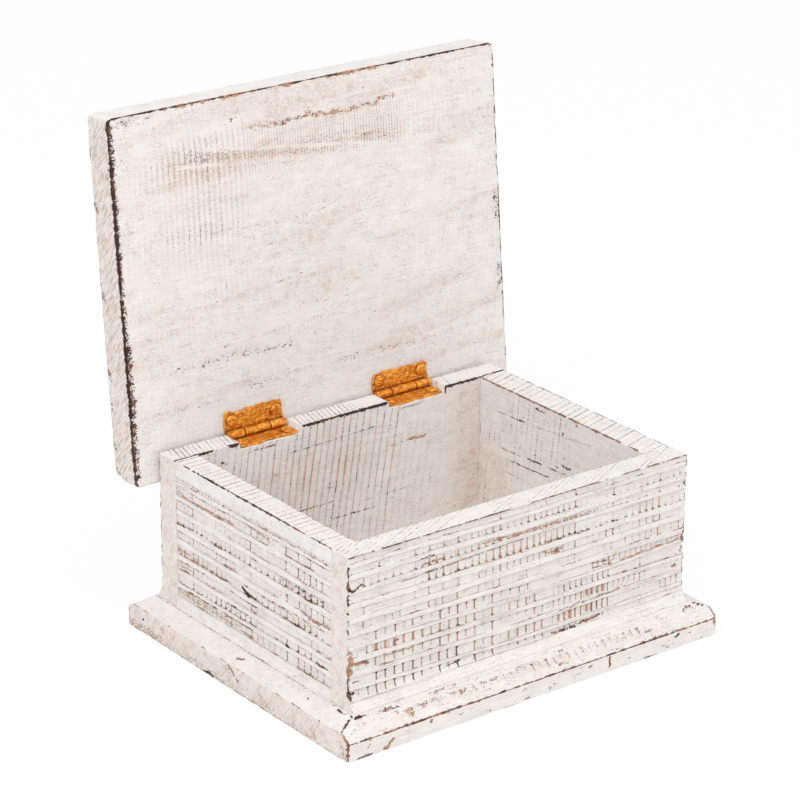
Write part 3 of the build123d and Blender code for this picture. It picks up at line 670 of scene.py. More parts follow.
def right_wall():
    """The right board, thicker than the others, marked one by one on its inner face."""
    wall, y, z = side_wall("right_wall", 1, RIGHT_STOCK, drawn_saw(600, -60, 60, 9), 610)
    wall.rub_edge(RIGHT, TOP, ((-62, .6, .6), (-20, .8, .7), (62, .6, .6)), .8, 631, 6)
    wall.rub_edge(LEFT, TOP, ((-58, .5, .5), (5, 1, .5), (50, 1.1, .5), (60, .6, .5)), .7, 634, 5)
    wall.mark(LEFT, y, z, (
        (45, 58.8, 36, 59, 29, 59.4, .4, .95, .6), (24, 60, 13, 60.3, .4, 1.1, .95),
        (37, 54.3, 24, 54.6, 7, 55.4, .3, .95, .9), (47, 77.4, 42, 77.6, 26, 78.4, .3, .85, .8),
        (20, 78.6, -25, 82.4, .25, .7, .8), (42, 47.4, 20, 47, .3, .6, .6), (8, 60.6, -6, 61, .4, .8, .9),
        (29.6, 78.4, .8, 1, .9), (1, 62.6, .9, 1, .95), (-3, 64.8, -9, 65, .6, .9, .9),
        (18, 64, .6, .9, .9), (-3, 82, .7, .9, .9), (-12.6, 89, .8, 1, .95), (12, 88, 18, 88.6, .7, .8, .8),
        (-4, 69, .6, .9, .9),
    ))
    wall.saw_face(TOP, (y - 0.3 * wall.flat[:, 0]) / 4.2, 0.4, 0.8)
    wall.saw_face(LEFT, (y + 0.1 * z) / 4, 0.12 + 0.2 * noise(wall.flat, 16, 641), 0.5)
    # the inner face's paint turns beige towards the back and the bottom, round the inner back right corner
    wall.thin = np.where(wall.on(LEFT), 0.9 * smooth((y - 15) / 40) * smooth((75 - z) / 30), 0)
    wall.round_over(wall.wander(0.4, 651))
    wall.carve(660, *SIDE_CARVING)
    return wall


# ---- base and lid ----
BEVEL_STEPS = (*EDGE_STEPS, 3.1, 4.1, 5.1, 6.1, 7.1, 8.1, 9.1, 10.2)
COUNTERSINK, SINK_DEPTH = 4.2, 0.9  # a countersink's radius and depth in the underside
SCREW_RADIUS = 3.4
MIDDLE_SCREW = 60  # how far each side of the middle the front and back walls' screws stand
SCREW_STEPS = tuple(np.linspace(-COUNTERSINK, COUNTERSINK, 11))


def base():
    """The base board. Its height is the lesser of two roofs: one rises over a bevel from both ends,
    the other from the front and back, so a hip runs out from each corner of the walls."""
    screws, screw_top = corners("base_screws")
    rows = (screws[1] + SCREW_RADIUS, 0, screw_top[1] - SCREW_RADIUS)
    columns = (screws[0] + SCREW_RADIUS, -MIDDLE_SCREW, MIDDLE_SCREW, screw_top[0] - SCREW_RADIUS)
    steep = BASE_BEVEL[1] / BASE_BEVEL[0]
    board = Board(BASE_LOW, BASE_HIGH, (1.25, 1.2, 1.3),
                  ([c + step for c in columns for step in SCREW_STEPS],
                   [r + step for r in rows for step in SCREW_STEPS], ()),
                  (BEVEL_STEPS, tuple(steep * step for step in BEVEL_STEPS), EDGE_STEPS))
    x, y, z = board.flat.T
    front, end = board.gap(FRONT), board.nearer(0)
    top = board.on(TOP)
    roofs = [edge + (BASE_TOP - edge) * np.minimum(gap / bevel, 1) for edge, gap, bevel in
             zip(BASE_EDGES, (end, board.nearer(1)), BASE_BEVEL)]
    # along the front: a dark line on the top edge, notched and chipped; orange saw ticks on the bevel
    board.rub_edge(FRONT, TOP, ((-110, 1, .6), (-98, 1.2, .65), (-60, 1.2, .6), (-20, 1, .7),
        (20, 1.2, .65), (60, 1.3, .75), (85, 1.2, .6), (110, 1, .5)), .55, 701, 6, 4.3)
    board.rub_edge(FRONT, LEFT, ((0, 1.2, .55), (16, 1.2, .4)), 1.1, 704, 4)
    corner = smooth((6.4 - front) / 1.2) * smooth((1.9 - end) / 0.9)
    board.rub(np.where(top, corner * (0.8 + 0.4 * noise(board.flat, 1.6, 722)), 0), 0.4)
    board.rub_edge(FRONT, RIGHT, ((0, .9, .3), (16, .7, .3)), .9, 706, 4)
    board.rub_edge(LEFT, BACK, ((0, 1.1, .5), (16, 1, .5)), 1.1, 708, 4)
    board.rub_edge(LEFT, UNDER, ((-89, .9, .5), (-60, .6, .5), (0, .7, .8), (30, .8, .8), (60, .9, .5),
        (86, 1.1, .4)), .7, 711, 3)
    board.rub_edge(LEFT, TOP, ((-89, .5, .4), (-60, .4, .5), (30, .4, .5), (60, .45, .5), (86, .55, .4)),
        .3, 713, 4)
    for side in (-1, 1):
        board.rub_edge((1, -side), UNDER, ((-110, .4, .5), (110, .5, .5)), .4, 714 + side, 5)
    board.rub_edge(RIGHT, TOP, ((-89, .6, .5), (0, .5, .6), (86, .6, .4)), .5, 717, 5)
    board.rub_edge(BACK, TOP, ((-110, .5, .6), (0, .6, .6), (110, .5, .5)), .5, 719, 5)
    hip = np.abs(roofs[0] - roofs[1]) / 0.78
    cracked = top & (front < BASE_BEVEL[1]) & (end < BASE_BEVEL[0])
    board.rub(np.where(cracked, smooth(1.5 - hip / 0.45) * (0.75 + 0.5 * noise(end, 2.5, 721)), 0), 0.8)
    board.mark(FRONT, x, z * BASE_EDGES[1] / BASE_TOP, (
        (-105, .3, -101, .5, -97, .6, .7, 1, .5), (-90.5, 1, -88, 1.8, 1.1, 1, .4),
        (-88, 3, -85, 4.6, .7, .85, .45), (-99.5, 4.6, -98, 6, .6, 1, .4), (-92, 5.2, .6, .8, .8),
        (-64, 7, .8, 1, .8), (-10, 5.6, -8, 6, .5, .9, .6), (-48, 5, -45, 5.4, .35, .7, .9),
        (42, 1.4, 42.5, 3.5, 42.2, 7.5, .35, 1.1, .9), (54.5, 1.6, 54.2, 7.5, .3, 1, .9),
        (108.5, 7.5, 110.4, 4.6, .9, 1, .55), (20, 4, 21, 3.4, .5, .9, .3),
        (76, 3.6, 80, 2, 82, 3, .5, .8, .45), (84, 6.4, 85.4, 6.8, .7, 1.1, .8), (93, 5.6, .5, 1, .8),
        (-30, 1.4, -27, 1.7, .4, .8, .8), (6, 2.4, .5, .8, .8), (30, 6, 32, 6.5, .4, .9, .9),
        (64, .4, 72, .5, .4, .8, .8),
    ))
    board.mark(TOP, x, y, (
        (-73, -85.5, 1.3, .62, .1), (-47, -101, .5, 1, .5), (95, -82, 98, -80.5, 101, -82, .4, .9, .5),
        (-104.5, -51.5, .75, 1.4, 1), (-103, -42, .45, 1, .9), (-107, 3, -105, -1, .7, .8, .5),
        (-101.8, -70, -101.4, -76, .45, 1.2, .9), (-100, -80, -94, -79.8, .4, 1.2, 1),
        (-101, -79, -101.2, -76.5, .3, 1, 1), (-88, -80.4, -80, -80.2, .3, .7, .9),
        (-60, -80.5, -40, -80, .3, .6, .4), (-90, -83, -30, -83.5, 20, -81, .25, .55, .4),
        (-100.8, 80, -100.8, 20, -101, -70, .25, .5, .5), (-96, -77.6, 98, -77.8, .22, .5, .7),
    ))
    rng = np.random.default_rng(741)
    for face, v, span, count in ((FRONT, z, (0.5, 15.5), 46), (TOP, y, (-98.5, -80.5), 60)):
        spans = ((-108, 106), span, (0.3, 5), (0.25, 0.5), (0.4, 0.85), (0.1, 0.9))
        board.scratch(face, x, v, rng, count, spans, 0.05)
    board.mark(LEFT, y, z * BASE_EDGES[0] / BASE_TOP, (
        (23, .5, 19, 1.4, 16, .6, .9, 1.2, 1), (3, 11.6, -1, 9, -4, 6, .6, 1, .4),
        (5, 11, 2, 8, .4, .8, .3), (75.6, 7.5, .6, 1.5, 1), (86, 2, 70, 3, 60, 1.5, 2.6, .5, .3),
        (88, 11, 88.6, 2, 1.6, .62, .3), (-20, 7, -30, 3, 1.2, .5, .25), (60, 9, 56, 6, 1, .5, .3),
        (-62, 5, -66, 2, 1.2, .5, .3), (-84, 8, -88, 3, 1.4, .62, .3), (40, 2, 30, 3, 1, .5, .3),
    ))
    ticked = np.interp(x, (-70, -40, -20, -14, 20, 24, 38, 42, 66, 74),
                       (0, .2, .35, .8, .9, .4, .35, .7, .5, 0))
    half_way = 1 - np.abs(front - 5.4) / 1.9
    board.foot = np.where(top, np.clip((front - 5.4) / 1.9, -1, 1), 0)
    board.saw[top, :2] = np.stack([x / 4.3, ticked * smooth(2.2 * half_way)], 1)[top]
    board.dark = np.where(top & (board.wear < UNWORN), 0.08, board.dark)
    bevel = top & (board.nearer(1) < BASE_BEVEL[1]) & (end > BASE_BEVEL[0])
    board.rub(np.where(bevel, 0.17 + 0.07 * noise(board.flat, 8, 743), 0), 0.1)
    ends = board.on_either(0)
    speckled = 0.34 - 0.02 * z + 0.1 * smooth((y - 40) / 30) * smooth((9 - z) / 6)
    speckled = speckled + 0.1 * noise(board.flat, 9, 724)
    board.rub(np.where(ends, speckled, 0), 0.25 + 0.3 * noise(board.flat, 6, 725))
    # painted shade: the bevels along the front and back take a darker beige tint than the ends' bevels
    board.thin = np.select([ends, top & (end < BASE_BEVEL[0]), bevel], [0.85, 0.2, 0.54], 0.2)
    board.sawn(UNDER, 751)
    # round, then bevel, then sink the countersinks
    board.round_over(board.wander(0.55, 731, chip=1.0))
    board.round_over(BASE_CORNER, (0, 1))
    board.points[:, 2] *= np.minimum(*roofs) / BASE_TOP
    board.rough(0.10, (9, 2.5, 2.5), 735)
    sunk = np.zeros(len(x))
    for column, row in product(columns, rows):
        if (abs(column) == MIDDLE_SCREW) != (row == 0):
            inward = COUNTERSINK - np.hypot(x - column, y - row)
            sunk = np.maximum(sunk, np.clip(inward / 1.2, 0, 1) * SINK_DEPTH)
    board.points = np.clip(board.points, BASE_LOW, BASE_HIGH)
    board.points[:, 2] += np.where(board.on(UNDER), sunk, 0)
    return board


def lid():
    """The lid board, modelled shut: square edges hardly broken, its top back edge a quarter circle."""
    board = Board(LID_LOW, LID_HIGH, (1.05, 1.05, 1.05))
    x, y, z = board.flat.T
    under = board.on(UNDER)
    board.rub_edge(LEFT, UNDER, ((-89.5, 1.3, .85), (-40, 1.15, .95), (0, 1.05, 1), (40, 1.1, 1),
        (86.5, 1, .8)), 1.7, 801, 3.5)
    board.mark(UNDER, x, y, (
        (-111.6, -86, -111.8, 84, 1.3, .63, .85), (-111, 20, -111.2, 80, 1.7, .7, .85),
    ))
    board.rub_edge(FRONT, UNDER, ((-90, .1, .15), (-70, .55, .15), (40, .6, .15), (60, .1, .1)),
        1.6, 805, 3)
    board.rub_edge(FRONT, UNDER, ((-113, 1.4, 1), (-80, 1.3, 1), (-60, 1.3, .9), (0, 1.3, .9),
        (40, 1.2, .9), (90, 1.1, .9), (113, 1, .9)), .8, 804, 6)
    board.rub_edge(RIGHT, UNDER, ((-89.5, .5, .7), (-12, .5, .8), (-8, 1.2, .9), (2, 1.1, .9), (6, .4, .8),
        (28, .5, .8), (31, 1, .9), (36, .4, .8), (86.5, .5, .7)), .7, 807, 5)
    board.rub_edge(LEFT, TOP, ((-89.5, .5, .4), (-50, .5, .4), (0, .6, .4), (86.5, .7, .4)), .7, 811, 8)
    board.rub_edge(LEFT, FRONT, ((93, .5, .5), (110.5, .4, .5)), .6, 813, 5)
    board.rub_edge(RIGHT, TOP, ((-89.5, .5, .5), (86.5, .5, .5)), .6, 815, 8)
    board.rub_edge(FRONT, TOP, ((-113, .6, .5), (0, .5, .5), (113, .6, .5)), .6, 817, 6)
    # the ragged end of the thick paint, pocks, scratches and grey streaks of the underside
    board.mark(UNDER, x, y, (
        (-34, -72.5, -20, -71, 0, -72.5, 20, -70.5, 38, -72, 50, -74, 1.5, .62, .2),
        (-20, -70.5, 0, -72, 12, -70.5, .6, .75, .45), (24, -71, 36, -72, .5, .75, .5),
        (110.5, -12, 111, 0, 2.6, .5, .95), (110.5, 25, 111, 34, 2.2, .45, .95),
        (-108, -86, -90, -86, 2.2, .4, .9), (-70, -63, -50, -62, 3, .42, .3), (-45, -77, 1, .9, .6),
        (32, -80, .9, .9, .5), (0, -76, .6, .9, .6),
        (-80, -26, -60, -26, -20, -24, 0, -24, 20, -30, .5, .44, .3), (112.4, -78, .6, 1, .9),
        (-75, 9, -30, 6, -10, 4, .8, .34, .6), (-90, 37, -55, 36, -20, 38, 1.8, .36, .8),
        (-60, 31, 0, 27, 40, 33, .7, .34, .7), (-45, 53, -10, 52, 2.5, .36, .1),
        (6, 52, 78, 52, 2, .33, .05), (-100, 55, -60, 57, .8, .36, .8), (-40, 12, 30, 26, .5, .32, .7),
    ))
    far_band = smooth((y + 76) / 5) * smooth((-47 - y) / 8)
    fade = np.interp(x, (-110, -90, -75, -35, 40, 60, 112), (.05, .25, .75, .75, .7, .2, .1))
    phase = np.interp(x, (-113, -38, 55, 113), (0, 24.2, 78.9, 97.6))
    streaky = np.exp(-(((x + 62) / 24) ** 2) - ((y + 34) / 26) ** 2)
    ticks = near_path(x, y, ((-84, -27), (-40, -26)), 4) + near_path(x, y, ((-92, 0), (-50, 2)), 3)
    patchy = noise(board.flat / [40, 12, 1], 1, 821, 3)
    lines = near_path(x, y, ((-76, -60), (-20, -54.5), (42, -46)), 1.0)
    lines = np.maximum(lines, near_path(x, y, ((-60, -66), (-30, -61.5), (50, -50.5)), 0.8))
    worn = np.clip(1.2 - np.abs(y + 57 - 0.05 * x) / 7, 0, 1)
    band = far_band * fade * (1 - lines)
    strength = (0.42 + 0.5 * worn) * band + 0.2 * streaky + 0.16 * ticks + 0.1 * patchy - 0.1
    furrows = (0.45 + 0.45 * worn) * band + 0.35 * streaky + 0.06 + 0.1 * patchy
    board.soft = np.where(under, np.clip(furrows, 0, 1), 0)
    board.wear = np.where(under, np.maximum(board.wear, 0.47 * band * worn), board.wear)
    board.saw[under, :2] = np.stack([phase + 0.25 * noise(y, 25, 823), strength], 1)[under]
    bare = under & (board.wear < 0.32)
    board.dark = np.where(bare, 0.1 + 0.55 * smooth((y + 50) / 20), board.dark)
    # the top, sawn and worn along the grain
    top = board.on(TOP)
    board.sawn(TOP, 841)
    board.mark(TOP, x, y, (
        (-38, 22, -35, 20.5, 1.5, 1, .9), (52, -34, 54.5, -33, 1.1, 1, .9),
    ))
    end = board.on_either(0)
    dents = [(place, 109.2, place + 4, 107.5, 1.3, .6, .35) for place in (-47, -4, 34, 50, 70, 82)]
    dents += [(place, 108, place + 5, 96, .35, .5, .25) for place in (-84, -78, -72, -66, -60)]
    board.mark(LEFT, y, z, dents)
    slanted = (board.flat + [0, 1, 0] * board.flat[:, :1] * 0.12) / [60, 9, 1]
    shaded = 0.58 * smooth(noise(slanted, 1, 825, 3) + 0.3)
    board.thin = np.select([end, under | top], [0.8, 0.12 + shaded], 0.1)
    board.foot = end.astype(float)
    board.round_over(board.wander(0.6, 831, size=7, chip=1.0))
    board.round_over(LID_CORNER, (0, 1))
    board.round_over(LID_BACK_ROUND, (1, 2), (1,))
    thick = smooth((-72 - y) / 1.2 + noise(board.flat, 6, 835)) * smooth((x + 40) / 4) * smooth((64 - x) / 4)
    lumps = 0.3 * (1 - thick) + 0.15 * thick * (1 + noise(board.flat, 2.6, 836))
    board.points[:, 2] += np.where(under, lumps * smooth(board.gap(FRONT) / 2), 0)
    board.rough(0.07, (14, 3, 3), 837)
    board.points = np.clip(board.points, LID_LOW, LID_HIGH)
    return board


# ---- hinges ----
KNUCKLE = 2.2
PIN_DEPTH = 2.5  # from the pins' axis to the faces that the leaves lie on
MIDDLE_KNUCKLE = 7.35
LEAF_LENGTH = 33.6
SCREW_SPREAD = 26.0
CLEAR_OF_PIN = 2.8  # no lumps of paint nearer to the pins' axis than this
HEAD, DOME = 3.1, 1.25  # radius and height of a screw's head
SHANK = ((0, -9.5), (0.5, -8.8), (1.2, -7.5), (1.2, -0.1), (2.4, -0.05))  # radii and heights, to the head
SLOT_HALF, SLOT_DEPTH = 0.5, 0.4


def joined(shells):
    """Several shells of points and quads as one."""
    starts = np.cumsum([0] + [len(points) for points, _ in shells[:-1]])
    faces = [quads + start for start, (_, quads) in zip(starts, shells)]
    return np.concatenate([points for points, _ in shells]), np.concatenate(faces)


def slab(low, high, radius, lump, seed):
    """A thin plate under lumpy paint: a lattice with rounded edges, moved by broad and fine noise
    along all axes, but not near the pin, where the knuckles turn."""
    plate = Board(low, high, (0.4, 0.4, 0.4))
    plate.round_over(radius)
    plate.round_over(3 * radius, (0, 1))
    push = np.stack([noise(plate.flat, 4, seed + axis) + 0.4 * noise(plate.flat, 1.5, seed + 5 + axis)
                     for axis in range(3)], 1)
    clear = smooth(np.hypot(plate.flat[:, 1] - PIN[1], plate.flat[:, 2] - PIN[2]) - CLEAR_OF_PIN)
    plate.points += lump * clear[:, None] * push * [1.0, 1.6, 0.6]
    return plate.points, plate.faces


def turned_shell(outline, around, axis_point, along, seed=0, lump=0.0):
    """A surface of revolution: the (radius, distance) outline carried round an axis along X or Z.
    Both ends of the outline lie on the axis, where one point closes the pole."""
    radius, distance = np.array(outline, float)[1:-1].T
    angle = np.arange(around) * 2 * np.pi / around
    ring = radius[:, None] * np.cos(angle), radius[:, None] * np.sin(angle)
    run = np.repeat(distance[:, None], around, 1)
    body = np.stack([run, *ring] if along == 0 else [*ring, run], -1).reshape(-1, 3)
    poles = np.zeros((2, 3))
    poles[:, along] = outline[0][1], outline[-1][1]
    points = np.concatenate([body, poles])
    across = [axis for axis in range(3) if axis != along]
    points[:, across] *= 1 + lump * noise(points + axis_point, 1.7, seed, 3)[:, None]
    rows, index = len(radius), np.arange(around)
    after = (index + 1) % around
    grid = np.arange(rows)[:, None] * around
    quads = np.stack([grid[:-1] + index, grid[:-1] + after, grid[1:] + after, grid[1:] + index], -1)
    first, last = len(body), len(body) + 1
    cap = np.stack([np.full(around, first), after, index, np.full(around, first)], -1)
    end = (rows - 1) * around
    tail = np.stack([np.full(around, last), end + index, end + after, np.full(around, last)], -1)
    faces = np.concatenate([quads.reshape(-1, 4), cap, tail])
    return points + axis_point, faces


def barrel(x, start, end, seed):
    """One knuckle under paint: a tube along X with softly rounded ends."""
    steps = np.linspace(start + 0.5, end - 0.5, 24)
    outline = [(0, start), (1.2, start), (1.8, start + 0.05), (KNUCKLE - 0.1, start + 0.25)]
    outline += [(KNUCKLE - 0.02, step) for step in steps]
    outline += [(KNUCKLE - 0.1, end - 0.25), (1.8, end - 0.05), (1.2, end), (0, end)]
    return turned_shell(outline, 40, np.array([x, PIN[1], PIN[2]]), 0, seed, 0.025)


def leaf_shells(x, width, side, spans, seed):
    """Plate, tongues and knuckles of one leaf; side -1 lies in the rim and side +1 under the shut lid."""
    seat = PIN[2] + side * PIN_DEPTH
    z = sorted((seat, seat - side))
    half = LEAF_LENGTH / 2
    shells = [slab((x - half, PIN[1] - width, z[0]), (x + half, PIN[1] - 1.6, z[1]), 0.5, 0.5, seed)]
    for start, end in spans:
        tongue = (x + start, PIN[1] - PIN_DEPTH - 0.8, z[0]), (x + end, PIN[1], z[1])
        shells += [slab(*tongue, 0.2, 0.0, seed + 9), barrel(x, start, end, seed + 17)]
    return joined(shells)


def screw_shells(x, y, z, up, seed):
    """Two round heads, each a painted dome 6.2 across with a slot sunk in it, on a plain shank; up is
    +1 or -1."""
    dome = [(HEAD * math.cos(a) ** 0.8, DOME * math.sin(a)) for a in np.linspace(0, math.pi / 2, 19)[:-1]]
    outline = [*SHANK, *dome, (0, DOME)]
    shells = []
    for number, place in enumerate((x - SCREW_SPREAD / 2, x + SCREW_SPREAD / 2)):
        points, faces = turned_shell(outline, 64, np.zeros(3), 2)
        angle = 0.5 + 1.9 * number + seed
        off = np.abs(points[:, 0] * math.sin(angle) - points[:, 1] * math.cos(angle))
        sunk = smooth((SLOT_HALF - off) / 0.3) * smooth(points[:, 2] / 0.4)
        points[:, 2] -= SLOT_DEPTH * sunk
        rim = points[:, 2] > -0.2
        points[rim] += 0.2 * noise(points[rim], 1.8, seed + number)[:, None] * [1, 1, 0.5]
        if up < 0:
            points[:, 1:] *= -1
        shells.append((points + [place, y, z], faces))
    return joined(shells)


def gold_wear_and_painted_shade(points, x, y, side):
    """Where handling thins the gold, on the knuckles, and where painted shade lies dark on it: in the corner
    between a leaf and its knuckles, in the joints between knuckles and round the screw heads."""
    across, height = points[:, 1] - PIN[1], points[:, 2] - PIN[2]
    around = np.hypot(across, height)
    face = side * height - (PIN_DEPTH - 1)
    corner = smooth(1.4 - np.abs(around - 2.5) / 0.7) * smooth(1.5 - np.abs(face) / 0.9)
    joint = 0.4 * smooth(1.5 - np.abs(np.abs(points[:, 0] - x) - MIDDLE_KNUCKLE - 0.2) / 0.4) * (around < 2.6)
    off = [np.hypot(points[:, 0] - x - sign * SCREW_SPREAD / 2, points[:, 1] - y) for sign in (-1, 1)]
    ring = smooth(1.5 - np.abs(np.minimum(*off) - HEAD - 0.1) / 0.45) * smooth(1.5 - np.abs(face) / 0.5)
    # painted shade: darkest in the corner by the knuckles, then in the joints and round the heads
    dark = np.maximum(np.maximum(0.7 * corner, joint), 0.45 * ring)
    return {"thin": (around < 2.6).astype(float), "dark": dark}


def hinge(name, material):
    """The two leaves and four screws of one hinge."""
    x = float(corners(f"{name}_hinge_pin")[0][0] + corners(f"{name}_hinge_pin")[1][0]) / 2
    seed = 900 if name == "left" else 950
    half, gap = LEAF_LENGTH / 2, MIDDLE_KNUCKLE + 0.45
    for part, body, width, side, spans in (
        ("box", "box", 11.5, -1, ((-MIDDLE_KNUCKLE, MIDDLE_KNUCKLE),)),
        ("lid", "lid", 11.0, 1, ((-half, -gap), (gap, half))),
    ):
        points, faces = leaf_shells(x, width, side, spans, seed + 20 * side)
        screw_z = PIN[2] + side * (PIN_DEPTH - 1)
        y = PIN[1] - (width + KNUCKLE) / 2
        heads, head_faces = screw_shells(x, y, screw_z, -side, seed + side)
        for what, (shell, quads) in {"leaf": (points, faces), "screws": (heads, head_faces)}.items():
            placed = turned(shell, -OPEN) if side > 0 else shell
            make_piece(f"{name}_hinge_{part}_{what}_gilt", placed, quads, gold_wear_and_painted_shade(shell, x, y, side),
                       material, body, [f"{name}_hinge_{part}_{what}"])


# ---- finishes ----
class Value:
    """One number that changes over a surface. Its operators add Math nodes."""

    def __init__(self, tree, socket):
        self.tree, self.socket = tree, socket

    def math(self, operation, *numbers):
        node = self.tree.node("ShaderNodeMath", {"operation": operation}, *numbers)
        return Value(self.tree, node.outputs[0])

    def __add__(self, other):
        return self.math("ADD", self, other)

    __radd__ = __add__

    def __mul__(self, other):
        return self.math("MULTIPLY", self, other)

    __rmul__ = __mul__

    def __sub__(self, other):
        return self.math("SUBTRACT", self, other)

    def __rsub__(self, other):
        return self.math("SUBTRACT", other, self)

    def __abs__(self):
        return self.math("ABSOLUTE", self)

    def most(self, other):
        return self.math("MAXIMUM", self, other)

    def between(self, low, high):
        """0 at low, 1 at high and a smooth step between them."""
        settings = {"interpolation_type": "SMOOTHSTEP"}
        return Value(self.tree, self.tree.node("ShaderNodeMapRange", settings, self, low, high).outputs[0])


def linear(colour):
    """A colour of 0 to 255 numbers as the linear values that a shader takes."""
    share = np.array(colour) / 255
    return (*np.where(share > 0.04045, ((share + 0.055) / 1.055) ** 2.4, share / 12.92), 1.0)


class Tree:
    """The nodes of a material or a world."""

    def __init__(self, owner):
        owner.use_nodes = True
        self.tree = owner.node_tree
        self.tree.nodes.clear()

    def node(self, kind, settings, *values, **named):
        """A node of a kind, with its settings first and then its sockets, in order or by name."""
        node = self.tree.nodes.new(kind)
        for key, setting in settings.items():
            setattr(node, key, setting)
        for key, value in [*enumerate(values), *named.items()]:
            socket = node.inputs[key.replace("_", " ") if isinstance(key, str) else key]
            source = getattr(value, "socket", value)
            if isinstance(source, bpy.types.NodeSocket):
                self.tree.links.new(source, socket)
            elif source is not None:
                socket.default_value = source
        return node


class Finish(Tree):
    """A material's nodes. Lengths in it are millimetres."""

    def __init__(self, name):
        self.material = bpy.data.materials.new(name)
        super().__init__(self.material)
        place = self.node("ShaderNodeTexCoord", {}).outputs["Object"]
        self.place = self.scaled(place, (1 / METRES,) * 3)

    def scaled(self, vector, factors):
        """A vector times a factor along each axis."""
        return self.node("ShaderNodeVectorMath", {"operation": "MULTIPLY"}, vector, factors).outputs[0]

    def noise(self, scale, detail=2.0, roughness=0.5, stretch=(1, 1, 1), turn=0.0):
        """Noise of 0 to 1 with a scale in lumps a millimetre, stretched along the axes below 1, which
        may first be turned about X."""
        place = self.place
        if turn:
            settings = {"rotation_type": "X_AXIS"}
            place = self.node("ShaderNodeVectorRotate", settings, place, Angle=turn).outputs[0]
        vector = self.scaled(place, tuple(scale * share for share in stretch))
        node = self.node("ShaderNodeTexNoise", {}, vector, Scale=1.0, Detail=detail, Roughness=roughness)
        return Value(self, node.outputs[0])

    def layer(self, name):
        """A number layer of the mesh."""
        return Value(self, self.node("ShaderNodeAttribute", {"attribute_name": name}).outputs["Fac"])

    def parts(self, name):
        """The three numbers of a vector layer."""
        vector = self.node("ShaderNodeAttribute", {"attribute_name": name}).outputs["Vector"]
        return [Value(self, socket) for socket in self.node("ShaderNodeSeparateXYZ", {}, vector).outputs]

    def mix(self, share, first, second):
        """The first colour where the share is 0 and the second where it is 1."""
        node = self.node("ShaderNodeMix", {"data_type": "RGBA"}, share)
        for index, colour in ((6, first), (7, second)):
            if isinstance(colour, bpy.types.NodeSocket):
                self.tree.links.new(colour, node.inputs[index])
            else:
                node.inputs[index].default_value = linear(colour)
        return node.outputs[2]

    def coats(self, colour, *layers):
        """A colour under layers of (share, colour), each mixed over what is there."""
        for share, layer in layers:
            colour = self.mix(share, colour, layer)
        return colour

    def shade(self, colour, roughness, height, metallic=0.0):
        """Closes the material with a colour, a roughness and a bump whose height is in millimetres."""
        bump = self.node("ShaderNodeBump", {}, Strength=1.0, Distance=METRES, Height=height)
        surface = self.node("ShaderNodeBsdfPrincipled", {}, Base_Color=colour, Metallic=metallic,
                            Roughness=roughness, Normal=bump.outputs[0])
        self.node("ShaderNodeOutputMaterial", {}, surface.outputs[0])
        return self.material


